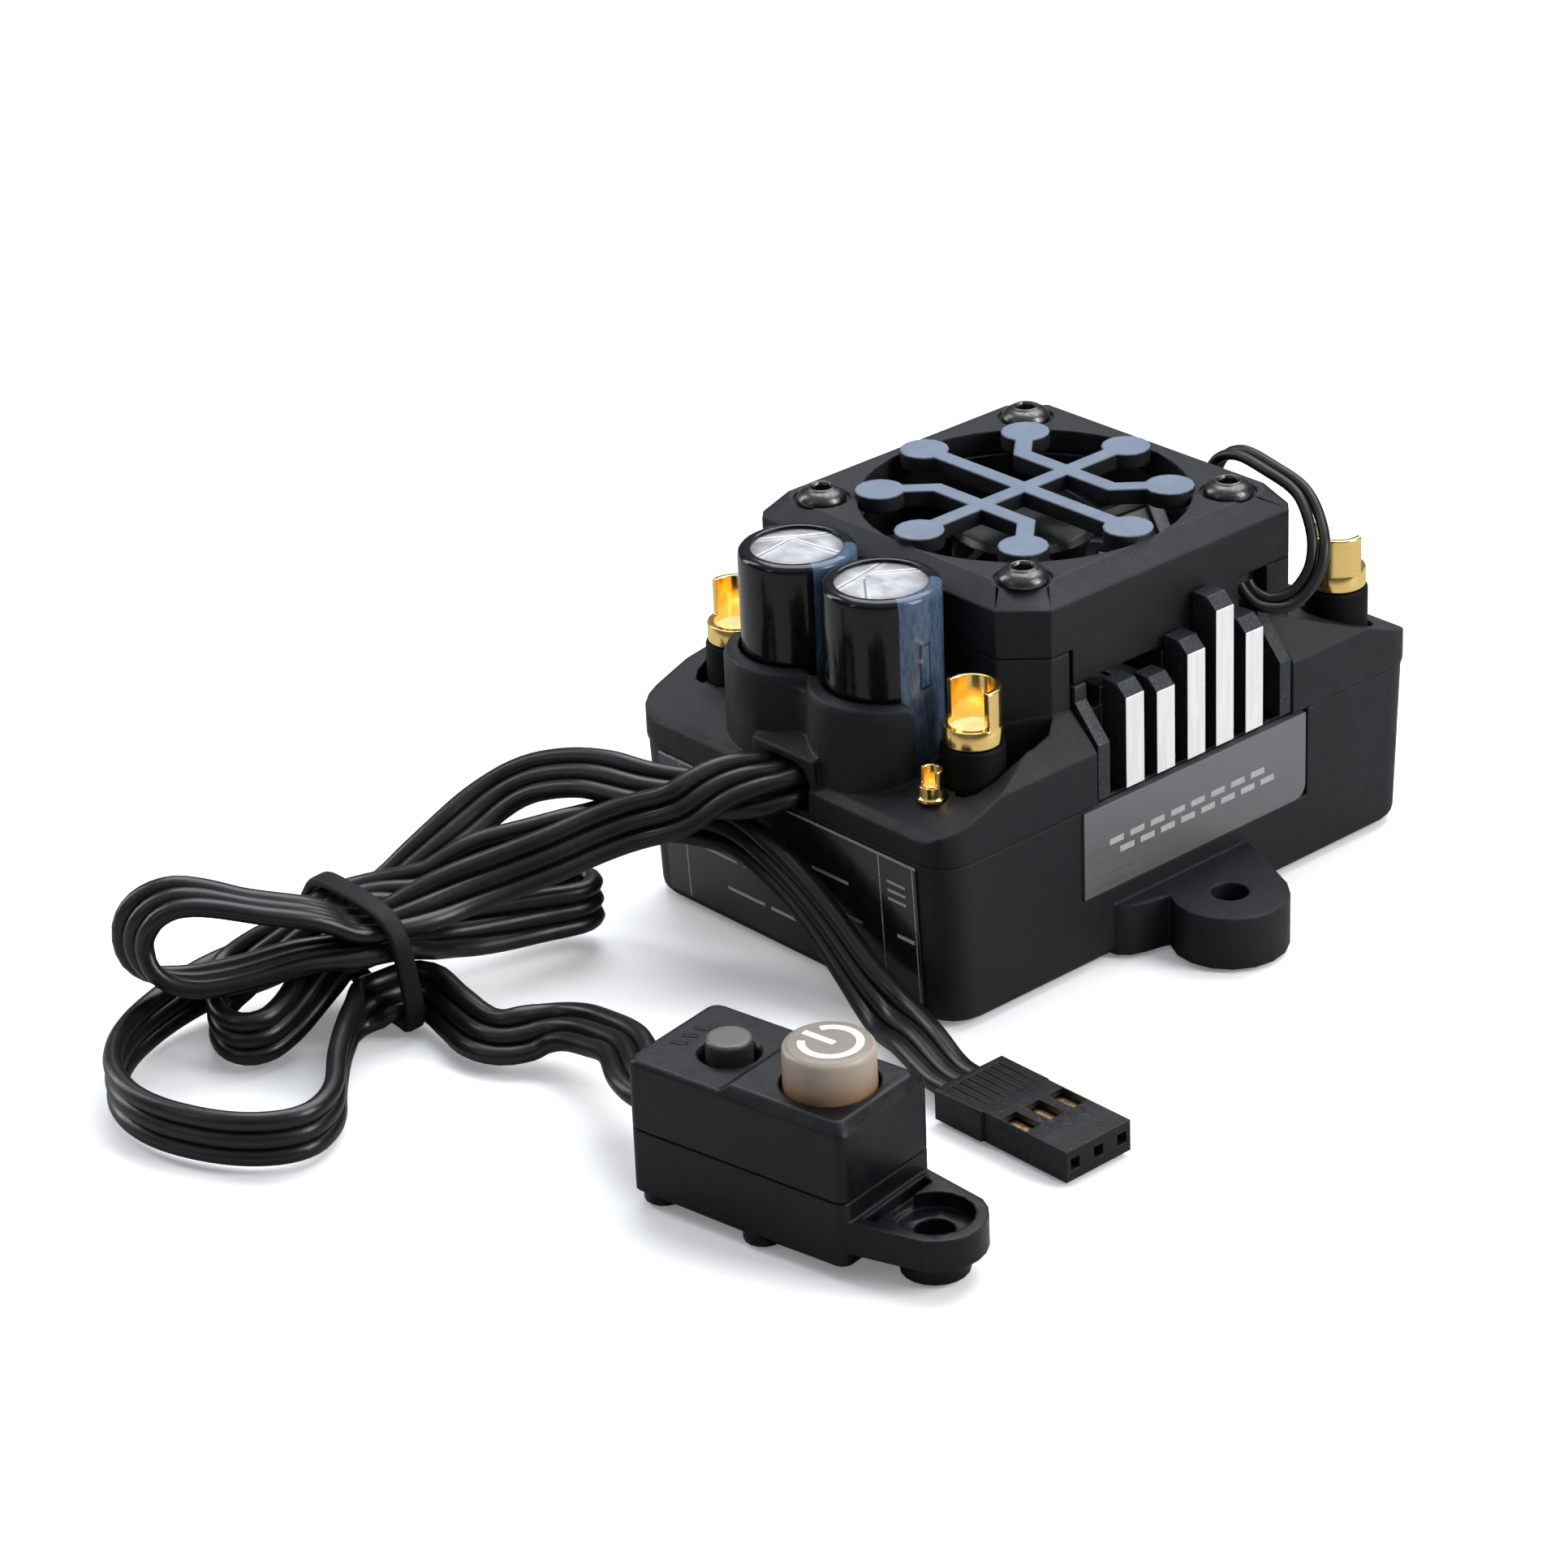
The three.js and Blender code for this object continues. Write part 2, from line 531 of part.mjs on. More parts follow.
for (const [side, name] of [[-1, 'left'], [1, 'right']]) {
  put(`capacitor_can_${name}`, capacitorCan(side * CAPACITOR.x), FINISH.aluminium);
  put(`capacitor_sleeve_${name}`, capacitorSleeve(side * CAPACITOR.x), FINISH.capacitorSleeve);
}

// ---------------------------------------------------------------- power and data posts
const POST = { radius: 2.5, wall: 0.55, ringZ: 22.3, cupZ: 24, top: 27.2 };
const POSTS = [                            // name, x, y, way the cup opens along Y
  ['battery_post_left', -BATTERY_POSTS.x, BATTERY_POSTS.y, -1],
  ['battery_post_right', BATTERY_POSTS.x, BATTERY_POSTS.y, -1],
  ['motor_post_a', -MOTOR_POSTS.x, MOTOR_POSTS.y, 1],
  ['motor_post_b', 0, MOTOR_POSTS.y, 1],
  ['motor_post_c', MOTOR_POSTS.x, MOTOR_POSTS.y, 1],
];

function powerPost(x, y, facing) {         // rod, ring and open solder cup
  const body = join(
    rod(1.6, BOARD_TOP, POST.ringZ + 0.2, 10),
    rod(POST.radius, POST.ringZ, POST.top, 18));
  return cut(body,
    rod(POST.radius - POST.wall, POST.ringZ + 0.9, ABOVE, 16),
    block(-4, 4, facing * 0.45, facing * 4, POST.cupZ, ABOVE),
  ).translate([x, y, 0]);
}

for (const [name, x, y, facing] of POSTS) {
  const collar = lathe(ringProfile(1.75, 2.8, 14.8, POST.ringZ - 0.05), 14, x, y);
  put(name, powerPost(x, y, facing), FINISH.gold);
  put(name.replace('post', 'collar'), collar, FINISH.postCollar);
}

function dataPost() {                      // small pin, flange and cup open to the front
  const body = join(
    rod(0.6, BOARD_TOP, 18.7, 8), rod(1.15, 18.45, 18.8, 12), rod(1, 18.6, 21.2, 12));
  return cut(body, rod(0.68, 19.2, ABOVE, 10), block(-2, 2, -2, -0.2, 19.8, ABOVE))
    .translate([...DATA_POST, 0]);
}
put('data_post', dataPost(), FINISH.gold);

// ---------------------------------------------------------------- screws
const COVER_SCREW = { seat: 33, radius: 2.12, height: 1.3, hex: 1.55, hexDepth: 0.9 };

function coverScrew(x, y) {                // button head with a hexagonal socket
  const { seat, radius, height, hex, hexDepth } = COVER_SCREW;
  const top = seat + height;
  const profile = [
    [0, 19], [1.2, 19], [1.2, seat], [radius, seat], [radius, seat + 0.25],
    [radius * 0.86, seat + height * 0.66], [radius * 0.6, top], [0, top],
  ];
  const socket = rod(hex / 2 / Math.cos(Math.PI / 6), top - hexDepth, ABOVE, 6);
  return cut(solid(lathe(profile, 14)), socket).translate([x, y, 0]);
}

function caseScrew(x, y) {                 // head down, socket in the underside
  const body = join(rod(1.6, 0.25, 1.4, 12), rod(0.95, 1.3, 16.2, 8));
  return cut(body, rod(0.8, 0, 0.95, 6)).translate([x, y, 0]);
}

fanHoles.forEach(([x, y], i) => {
  put(`cover_screw_${i + 1}`, coverScrew(x, y), FINISH.coverScrew);
});
BOSSES.forEach(([x, y], i) => {
  put(`case_screw_${i + 1}`, caseScrew(x, y), FINISH.caseScrew);
});

// ---------------------------------------------------------------- label and badge plates
const LABEL = { z0: 1, z1: 14.1, x0: -15.7, x1: 15.6, gap: 0.03, thickness: 0.16 };

function frontLabel() {                    // lies on the tapered front wall
  const { z0, z1, x0, x1, gap, thickness } = LABEL;
  const taper = (CASE.halfY - LOWER_INSET - FOOT.halfY) / (SEAM.z - FOOT.z);
  const wallY = z => -(FOOT.halfY + taper * (z - FOOT.z)) - gap;
  return prismX([
    [wallY(z0), z0], [wallY(z1), z1], [wallY(z1) - thickness, z1], [wallY(z0) - thickness, z0],
  ], x0, x1);
}

function sideBadge() {                     // lower rear corner rounded
  const { x0, x1, y0, y1, z0, z1, corner } = BADGE;
  const round = arc(y1 - corner, z0 + corner, corner, -90, 0, 4);
  return prismX([[y0, z0], ...round, [y1, z1], [y0, z1]], x0, x1);
}

put('front_label', frontLabel(), FINISH.label);
put('side_badge', sideBadge(), FINISH.badge);

// ---------------------------------------------------------------- fan wires
const WIRE_RADIUS = 0.46;
const WIRE = [                             // x, y, z along the first wire
  [4.9, 16.55, 30.2], [5.3, 17.55, 32.3], [7.35, 17.65, 33.4], [11.3, 17.45, 33.1],
  [14.83, 17.25, 32.2], [16.95, 16.4, 30.8], [18.5, 15.3, 29.0], [18.9, 14.26, 27.2],
  [18.5, 12.7, 25.7], [17.35, 11.2, 25.3], [16.2, 10.6, 25.9], [15.65, 10.5, 26.6],
];
const WIRE_STEP = [                        // from each of those points to the second wire
  [0, 1, 0], [0, 1, 0], [0, 1, 0.1], [0, 1, 0.1], [0.1, 1, 0.1], [0.5, 0.9, 0],
  [0.9, 0.5, 0], [0.9, 0, -0.5], [0.6, -0.5, -0.8], [0, -0.95, -0.4], [0, -0.95, 0],
  [0, -0.95, 0],
];

function wire(points) {
  const path = points.map(point => new THREE.Vector3(...point));
  return new THREE.ExtrudeGeometry(shapeOf(circle(WIRE_RADIUS, 6)), {
    steps: 24,
    bevelEnabled: false,
    extrudePath: new THREE.CatmullRomCurve3(path, false, 'centripetal'),
  });
}

const secondWire = WIRE.map((point, i) => point.map((value, axis) => value + WIRE_STEP[i][axis]));
put('fan_wire_1', wire(WIRE), FINISH.fanWire);
put('fan_wire_2', wire(secondWire), FINISH.fanWire);

// ---------------------------------------------------------------- switch pod
// Pod frame: x runs from the lead entry at -x to the drilled ear at +x.
const POD = { x: 28.9, y: -55.2, angle: 9.5, halfX: 10.35, halfY: 5.45, corner: 0.9 };
const POD_Z = { bottom: 1, seam: 6.4, gap: 0.12, top: 12.9, step: 0.5 };
const POD_WALL = 1.1;
const POD_EAR = { x: 14.6, radius: 4.1, top: 4.7 };
const SET = { x: -4.3, y: -0.2, radius: 1.85, top: 13.8, tactHalf: 2.2 };
const POWER = { x: 5.2, y: 0, radius: 3.6, top: 16.2, tactHalf: 3 };

const podOutline = roundedRect(POD.halfX, POD.halfY, POD.corner, 3);
const podCavity = roundedRect(POD.halfX - POD_WALL, POD.halfY - POD_WALL, 0.5, 2);
const podLeadEntry = block(-12, -8, -2.7, 2.7, 5, 7.4); // spans both halves

const pod = new THREE.Group();
pod.position.set(POD.x, POD.y, 0);
pod.rotation.z = THREE.MathUtils.degToRad(POD.angle);
group.add(pod);

function podLower() {
  const ear = [[9.5, -5], ...arc(POD_EAR.x, 0, POD_EAR.radius, -64, 64, 8), [9.5, 5]];
  const groove = [
    [POD.halfX + 0.5, -3.7], [POD.halfX + 1.4, -3.5], [POD.halfX + 1.4, 3.5], [POD.halfX + 0.5, 3.7],
  ];
  const feet = [[-8.55, -3.65], [-8.55, 3.65], [1.4, -3.95], [1.4, 3.95]];
  let body = join(
    slab(podOutline, POD_Z.bottom, POD_Z.seam - POD_Z.gap / 2),
    slab(ear, 2, POD_EAR.top));
  body = cut(body, slab(groove, 3.6, ABOVE), rod(3.1, 3.3, ABOVE, 18, POD_EAR.x, 0));
  body = join(body, rod(2.7, 0, 2.2, 20, POD_EAR.x, 0));
  body = cut(body, rod(1.55, BELOW, ABOVE, 16, POD_EAR.x, 0));
  body = join(body, ...rodsAt(feet, 1.6, 0, 1.2, 16));
  return cut(body, slab(podCavity, 2.1, ABOVE), podLeadEntry);
}

function podUpper() {                      // stepped top with two button wells
  const { top } = POD_Z;
  const stepZ = top - POD_Z.step;
  const shrink = half => (half - 0.8) / half;
  const shell = solid(skin([
    level(POD_Z.seam + POD_Z.gap / 2, podOutline),
    level(top - 0.8, podOutline),
    level(top, podOutline, shrink(POD.halfX), shrink(POD.halfY)),
  ]));
  const step = [[-12, stepZ], [-1.35, stepZ], [-0.75, top + 0.01], [-0.75, 20], [-12, 20]];
  const setWell = [[0, 11], [2.15, 11], [2.15, 11.7], [2.55, 12.5], [2.6, 14], [0, 14]];
  return cut(shell,
    solid(prismY(step, -10, 10)),
    slab(podCavity, BELOW, 11.4),
    podLeadEntry,
    solid(lathe(setWell, 24, SET.x, SET.y)),
    rod(POWER.radius + 0.24, 10, 14, 28, POWER.x, POWER.y));
}

function setButton() {
  const { x, y, radius, top } = SET;
  return lathe([
    [0, 9.3], [2.6, 9.3], [2.6, 10.4], [radius, 10.4],
    [radius, top - 0.35], [radius - 0.3, top], [0, top],
  ], 16, x, y);
}

function powerButton() {
  const { x, y, radius, top } = POWER;
  return lathe([
    [0, 9.4], [3.98, 9.4], [3.98, 10.4], [radius, 10.4],
    [radius, top - 0.6], [radius - 0.15, top - 0.2], [radius - 0.6, top], [0, top],
  ], 22, x, y);
}

const tactSwitch = ({ x, y, tactHalf: half }) =>
  box(x - half, x + half, y - half, y + half, 6.05, 8.6);

put('switch_lower_case', podLower(), FINISH.switchCase, pod);
put('switch_upper_case', podUpper(), FINISH.switchCase, pod);
put('switch_board', box(-8.8, 8.8, -4, 4, 4.9, 6), FINISH.board, pod);
put('set_tact_switch', tactSwitch(SET), FINISH.tactSwitch, pod);
put('power_tact_switch', tactSwitch(POWER), FINISH.tactSwitch, pod);
put('set_button', setButton(), FINISH.setButton, pod);
put('power_button', powerButton(), FINISH.powerButton, pod);

// ---------------------------------------------------------------- receiver plug
const PLUG = { x0: 27.6, x1: 41.9, y: -34.1, width: 7.5, z0: 0.05, z1: 2.75, pitch: 2.54 };
const channels = [-1, 0, 1].map(i => PLUG.y + i * PLUG.pitch);

function plugHousing() {
  const { x0, x1, y, width, z0, z1 } = PLUG;
  const edge = 0.15;                       // chamfer along the upper edges
  const section = symmetric([[width / 2, z0], [width / 2, z1 - edge], [width / 2 - edge, z1]])
    .map(([across, z]) => [y + across, z]);
  const sideTrim = side => {
    const wall = y + side * width / 2;
    return block(x0 + 5.2, x1 + 1, wall - side * 0.25, wall + side, BELOW, 5);
  };
  const channelCuts = centre => [
    block(x0 - 1, x1 - 0.7, centre - 0.85, centre + 0.85, 0.6, 2.2),
    block(x1 - 1, x1 + 1, centre - 0.5, centre + 0.5, 0.95, 1.95),
    block(x1 - 7.3, x1 - 4.5, centre - 0.8, centre + 0.8, 1, 5),
  ];
  const groove = i =>                      // seven grooves in the top, near the lead
    block(x0 + 0.6, x0 + 4.9, y + i * 0.85 - 0.14, y + i * 0.85 + 0.14, z1 - 0.16, 5);
  return cut(solid(prismX(section, x0, x1)),
    ...SIDES.map(sideTrim),
    ...channels.flatMap(channelCuts),
    ...[-3, -2, -1, 0, 1, 2, 3].map(groove));
}

put('plug_housing', plugHousing(), FINISH.plug);
channels.forEach((y, i) => {
  const contact = box(PLUG.x0 + 2.4, PLUG.x1 - 0.85, y - 0.7, y + 0.7, 0.75, 2.05);
  put(`plug_contact_${i + 1}`, contact, FINISH.contact);
});

// ---------------------------------------------------------------- leads and their band
// Ribbon leads.  Each station: centre x, y, z, then the direction across the ribbon.
const LEAD = { half: 2.4, thickness: 1.45, edge: 0.45 };
const SWITCH_LEAD = [
  [0, -25.6, 15.75, -1, 0, 0], [0.07, -27.99, 15.75, -1, 0.01, 0],
  [0.01, -28.49, 15.68, -0.96, 0.27, 0.03], [-0.21, -28.97, 15.59, -0.84, 0.53, 0.07],
  [-1, -29.74, 15.39, -0.64, 0.76, 0.14], [-2.91, -31.04, 15.09, -0.51, 0.84, 0.2],
  [-4.47, -31.95, 15.14, -0.45, 0.84, 0.31], [-6.5, -33.24, 15.32, -0.55, 0.75, 0.36],
  [-8.34, -34.8, 15.57, -0.5, 0.74, 0.45], [-9.88, -35.71, 15.74, -0.31, 0.81, 0.5],
  [-12.1, -36.51, 15.91, -0.25, 0.79, 0.56], [-14.88, -37.57, 15.73, -0.41, 0.73, 0.55],
  [-16.99, -38.62, 15.24, -0.53, 0.65, 0.55], [-18.45, -39.57, 14.72, -0.66, 0.55, 0.52],
  [-19.29, -40.32, 14.27, -0.77, 0.43, 0.47], [-20.23, -41.66, 13.45, -0.89, 0.23, 0.4],
  [-20.86, -43.75, 12.39, -0.93, -0.03, 0.36], [-21.02, -45.41, 11.66, -0.94, -0.06, 0.33],
  [-21.61, -49.17, 9.78, -0.98, 0.09, 0.2], [-22.33, -52.3, 8.11, -0.97, 0.23, 0.01],
  [-22.99, -54.98, 6.99, -0.96, 0.29, -0.04], [-23.54, -56.57, 6.35, -0.94, 0.34, 0.06],
  [-24.57, -59.16, 5.23, -0.91, 0.22, 0.36], [-25.24, -60.68, 4.53, -0.8, 0.09, 0.6],
  [-25.91, -62.24, 3.9, -0.56, -0.05, 0.83], [-26.53, -63.88, 3.49, -0.39, -0.04, 0.92],
  [-27.35, -66.75, 3.1, -0.17, -0.07, 0.98], [-27.44, -69.14, 2.9, -0.08, -0.08, 0.99],
  [-26.81, -72.71, 2.67, 0, -0.05, 1], [-25.58, -76.12, 2.53, 0.01, -0.02, 1],
  [-24.03, -78.71, 2.47, 0.01, -0.01, 1], [-21.93, -80.86, 2.47, -0.01, 0, 1],
  [-19.42, -82.5, 2.49, 0, 0, 1], [-16.57, -83.38, 2.5, 0, 0, 1],
  [-13.59, -83.5, 2.5, 0, 0, 1], [-10.11, -82.65, 2.5, 0, 0, 1],
  [-6.88, -81.08, 2.5, 0, 0, 1], [-4.62, -79.15, 2.49, 0, 0, 1],
  [-3.38, -77.13, 2.49, 0, 0, 1], [-3.15, -75.98, 2.48, 0, 0.01, 1],
  [-3.3, -74.82, 2.48, 0, 0.01, 1], [-3.74, -73.72, 2.47, 0, 0.01, 1],
  [-4.69, -72.22, 2.46, 0, 0.01, 1], [-5.93, -70.95, 2.45, 0.01, 0.02, 1],
  [-8.24, -69.11, 2.45, 0.04, 0.04, 1], [-11.68, -65.94, 2.49, 0.09, 0.08, 0.99],
  [-14.02, -63.36, 2.48, 0.1, 0.1, 0.99], [-15.08, -61.99, 2.46, 0.1, 0.06, 0.99],
  [-15.38, -61.5, 2.47, 0.07, 0, 1], [-15.58, -60.97, 2.5, -0.08, -0.11, 0.99],
  [-15.67, -60.43, 2.56, -0.4, -0.14, 0.91], [-15.63, -59.87, 2.65, -0.68, -0.03, 0.73],
  [-15.53, -59.32, 2.75, -0.82, 0.07, 0.57], [-15.42, -58.76, 2.81, -0.88, 0.1, 0.46],
  [-15.36, -58.18, 2.83, -0.89, 0.08, 0.45], [-15.2, -56.46, 2.72, -0.67, 0.23, 0.7],
  [-15.03, -55.95, 2.66, -0.56, 0.39, 0.74], [-14.73, -55.54, 2.6, -0.37, 0.55, 0.75],
  [-14.3, -55.29, 2.54, -0.14, 0.6, 0.79], [-13.78, -55.19, 2.49, 0.02, 0.56, 0.83],
  [-12.11, -55.36, 2.39, 0.14, 0.49, 0.86], [-9.3, -55.91, 2.27, 0.12, 0.54, 0.83],
  [-7.03, -56.35, 2.24, 0.09, 0.7, 0.7], [-5.3, -56.34, 2.26, -0.15, 0.75, 0.65],
  [-4.2, -56, 2.31, -0.37, 0.66, 0.66], [-3.71, -55.7, 2.35, -0.48, 0.55, 0.68],
  [-2.95, -54.86, 2.47, -0.6, 0.28, 0.75], [-2.65, -54.36, 2.56, -0.65, 0.26, 0.71],
  [-1.99, -53.42, 2.77, -0.7, 0.51, 0.5], [-1.1, -52.72, 3.06, -0.55, 0.73, 0.41],
  [-0.05, -52.28, 3.38, -0.35, 0.84, 0.4], [1.65, -52.12, 3.87, -0.08, 0.9, 0.42],
  [6.23, -52.78, 5.07, 0.09, 0.94, 0.33], [8.48, -53.38, 5.56, 0.3, 0.91, 0.28],
  [10.07, -54.16, 5.81, 0.46, 0.85, 0.25], [13.11, -56.06, 6.12, 0.49, 0.87, 0.09],
  [14.73, -56.81, 6.2, 0.32, 0.95, 0.02], [16.47, -57.18, 6.2, 0.05, 1, 0],
  [20.02, -56.69, 6.2, -0.17, 0.99, 0],
];
const RECEIVER_LEAD = [
  [0, -25.6, 17.5, -1, -0.04, 0], [-0.05, -27.39, 17.5, -0.98, 0.21, 0.01],
  [-0.67, -29.23, 17.65, -0.87, 0.43, 0.26], [-1.6, -30.91, 17.53, -0.81, 0.39, 0.43],
  [-2.47, -32.55, 17.17, -0.8, 0.23, 0.56], [-2.96, -33.61, 16.77, -0.79, 0.06, 0.61],
  [-3.6, -35.1, 15.97, -0.65, -0.11, 0.75], [-4.54, -36.37, 15.2, -0.53, 0.06, 0.85],
  [-6.84, -38.01, 14.23, -0.46, 0.09, 0.88], [-8.62, -40.17, 13.36, -0.47, -0.01, 0.88],
  [-9.41, -41.66, 12.88, -0.46, -0.06, 0.88], [-10.49, -44.27, 12.14, -0.46, -0.04, 0.89],
  [-12.39, -47.79, 11.12, -0.46, 0, 0.89], [-13.1, -49.38, 10.76, -0.5, 0.03, 0.86],
  [-14.08, -52.14, 10.24, -0.64, 0.05, 0.77], [-14.84, -54.98, 9.73, -0.86, 0.2, 0.47],
  [-15.97, -57.67, 9.15, -0.92, 0.39, 0.09], [-16.63, -59.32, 9.11, -0.94, 0.34, 0.01],
  [-16.97, -60.37, 9.46, -0.96, 0.29, 0.03], [-17.51, -62.28, 10.75, -0.94, 0.34, 0.01],
  [-17.93, -63.26, 11.26, -0.9, 0.43, -0.03], [-21.25, -68.61, 13.12, -0.83, 0.56, -0.04],
  [-22.25, -70.01, 13.65, -0.8, 0.6, 0.02], [-23.33, -71.4, 13.98, -0.77, 0.62, 0.12],
  [-24.05, -72.34, 13.98, -0.8, 0.56, 0.23], [-24.7, -73.27, 13.69, -0.86, 0.42, 0.3],
  [-25.27, -74.11, 13.1, -0.89, 0.3, 0.35], [-25.78, -74.7, 12.23, -0.91, 0.15, 0.38],
  [-26.19, -75.01, 11.17, -0.97, 0.02, 0.24], [-26.29, -75.09, 10.61, -1, -0.02, 0.09],
  [-26.18, -75.14, 9.46, -0.96, -0.02, -0.27], [-25.97, -75.08, 8.92, -0.91, 0.03, -0.41],
  [-25.4, -74.75, 7.96, -0.83, 0.24, -0.5], [-24.72, -74.09, 7.28, -0.8, 0.46, -0.38],
  [-24.01, -73.24, 6.84, -0.81, 0.55, -0.22], [-23.31, -72.3, 6.59, -0.82, 0.56, -0.11],
  [-22.64, -71.31, 6.52, -0.84, 0.54, -0.04], [-21.05, -68.76, 6.73, -0.86, 0.51, 0.02],
  [-18.36, -64.1, 7.54, -0.89, 0.46, 0], [-16.53, -60.26, 7.31, -0.92, 0.4, 0],
  [-15.7, -57.97, 7.28, -0.98, 0.21, 0.02], [-15.61, -57.37, 7.21, -0.99, 0.11, 0.06],
  [-15.61, -56.17, 6.96, -0.98, -0.03, 0.21], [-16.1, -53.28, 6.07, -0.85, 0.01, 0.52],
  [-16.28, -51.56, 5.57, -0.82, 0.13, 0.56], [-16.22, -50.4, 5.31, -0.75, 0.2, 0.62],
  [-15.85, -48.09, 4.94, -0.54, 0.22, 0.81], [-14.95, -43.46, 4.38, -0.17, 0.13, 0.98],
  [-14.17, -40.6, 4.12, -0.02, 0.08, 1], [-13.79, -38.87, 4.01, 0, 0.06, 1],
  [-13.9, -37.74, 3.94, -0.02, 0.06, 1], [-14.55, -36.85, 3.88, -0.04, 0.03, 1],
  [-15.57, -36.46, 3.82, -0.05, 0, 1], [-16.58, -36.82, 3.76, -0.04, -0.03, 1],
  [-17.35, -37.7, 3.72, -0.02, -0.02, 1], [-18.11, -39.33, 3.68, -0.07, 0.01, 1],
  [-18.68, -41.69, 3.67, -0.23, 0.05, 0.97], [-19.25, -45.3, 3.78, -0.42, 0.1, 0.9],
  [-19.4, -47.12, 3.9, -0.55, 0.1, 0.83], [-19.35, -49.55, 4.21, -0.67, 0.06, 0.74],
  [-18.94, -52.53, 4.82, -0.93, -0.05, 0.37], [-18.76, -54.34, 5.16, -1, -0.04, 0.09],
  [-18.74, -55.56, 5.35, -1, 0.02, 0.01], [-18.87, -57.41, 5.5, -0.99, 0.13, -0.01],
  [-19.1, -58.63, 5.54, -0.97, 0.23, 0.07], [-19.26, -59.23, 5.52, -0.95, 0.24, 0.18],
  [-19.52, -60.39, 5.35, -0.92, 0.02, 0.38], [-19.51, -61.5, 4.96, -0.76, -0.32, 0.56],
  [-19.26, -62.57, 4.51, -0.5, -0.47, 0.73], [-18.68, -64.15, 3.85, -0.23, -0.42, 0.88],
  [-17.86, -66.33, 3.22, -0.1, -0.25, 0.96], [-17.3, -68.6, 2.85, -0.06, -0.11, 0.99],
  [-17.33, -69.73, 2.76, -0.05, -0.06, 1], [-17.53, -70.22, 2.73, -0.04, -0.03, 1],
  [-18.32, -70.94, 2.69, -0.02, -0.01, 1], [-19.39, -71.24, 2.69, 0.01, 0, 1],
  [-20.52, -71.16, 2.71, 0.03, -0.01, 1], [-22.15, -70.55, 2.82, 0.09, -0.05, 0.99],
  [-23.57, -69.52, 3.07, 0.11, -0.14, 0.98], [-24.33, -68.65, 3.33, 0.08, -0.3, 0.95],
  [-24.6, -68.17, 3.53, -0.02, -0.42, 0.91], [-24.78, -67.67, 3.77, -0.22, -0.49, 0.84],
  [-24.85, -67.16, 4.06, -0.48, -0.46, 0.75], [-24.83, -66.64, 4.38, -0.68, -0.34, 0.65],
  [-24.75, -66.14, 4.7, -0.81, -0.2, 0.55], [-24.47, -65.17, 5.35, -0.9, 0.04, 0.44],
  [-23.26, -62.96, 6.93, -0.91, 0.38, 0.17], [-22.82, -62.01, 7.5, -0.94, 0.34, 0.03],
  [-22.4, -60.41, 8.21, -0.98, 0.21, -0.05], [-21.73, -57.62, 9.03, -0.94, 0.33, 0],
  [-21.01, -56, 9.24, -0.87, 0.5, 0.02], [-20.33, -55.03, 9.35, -0.78, 0.62, 0.09],
  [-18.27, -52.83, 9.49, -0.69, 0.56, 0.45], [-17.59, -51.86, 9.55, -0.78, 0.36, 0.52],
  [-17.18, -50.78, 9.73, -0.81, 0.09, 0.57], [-16.91, -49.11, 10.15, -0.65, -0.11, 0.75],
  [-16.54, -47.45, 10.58, -0.5, -0.03, 0.87], [-16.05, -46.41, 10.81, -0.44, 0.06, 0.89],
  [-14.16, -43.47, 11.36, -0.42, 0.09, 0.9], [-12.51, -40.36, 11.81, -0.38, 0.1, 0.92],
  [-10.59, -34.7, 12.06, -0.37, 0.16, 0.92], [-10.12, -33.61, 12.01, -0.33, 0.24, 0.91],
  [-9.49, -32.64, 11.91, -0.23, 0.31, 0.92], [-8.65, -31.83, 11.77, -0.09, 0.31, 0.95],
  [-6.62, -30.65, 11.48, 0.04, 0.14, 0.99], [-4.92, -30.14, 11.34, 0.1, 0.04, 0.99],
  [-2.59, -29.93, 10.91, 0.24, 0, 0.97], [0.25, -29.99, 10.02, 0.35, 0, 0.94],
  [3.52, -30, 8.57, 0.46, 0, 0.89], [6.57, -30.07, 6.74, 0.55, 0.08, 0.83],
  [9.99, -30.3, 4.41, 0.55, 0.17, 0.82], [12.01, -30.52, 3.21, 0.49, 0.29, 0.82],
  [14.68, -30.91, 2.06, 0.3, 0.6, 0.74], [15.82, -31.19, 1.89, 0.24, 0.7, 0.67],
  [16.96, -31.53, 1.91, 0.22, 0.82, 0.53], [18.65, -32.09, 2.07, 0.28, 0.91, 0.31],
  [20.36, -32.62, 2.04, 0.3, 0.94, 0.18], [23.8, -33.6, 1.5, 0.25, 0.97, 0.01],
  [25.56, -34, 1.4, 0.16, 0.99, 0], [27.35, -34.1, 1.4, 0.01, 1, 0],
];

// Section points [a, b] placed at a centre, a along one axis and b along the other
const placeSection = (section, centre, axisA, axisB) => section.map(([a, b]) =>
  centre.clone().addScaledVector(axisA, a).addScaledVector(axisB, b).toArray());

function ribbon(stations) {                // flat strip with bevelled edges
  const flat = LEAD.half - LEAD.edge;
  const thick = LEAD.thickness / 2;
  const section = [
    [LEAD.half, 0], [flat, thick], [-flat, thick], [-LEAD.half, 0], [-flat, -thick], [flat, -thick],
  ];
  const centres = stations.map(([x, y, z]) => new THREE.Vector3(x, y, z));
  const last = centres.length - 1;
  return skin(centres.map((centre, i) => {
    const along = centres[Math.min(i + 1, last)].clone()
      .sub(centres[Math.max(i - 1, 0)]).normalize();
    const across = new THREE.Vector3(...stations[i].slice(3));
    across.addScaledVector(along, -across.dot(along)).normalize();
    return placeSection(section, centre, across, along.clone().cross(across));
  }));
}
put('switch_cable', ribbon(SWITCH_LEAD), FINISH.cable);
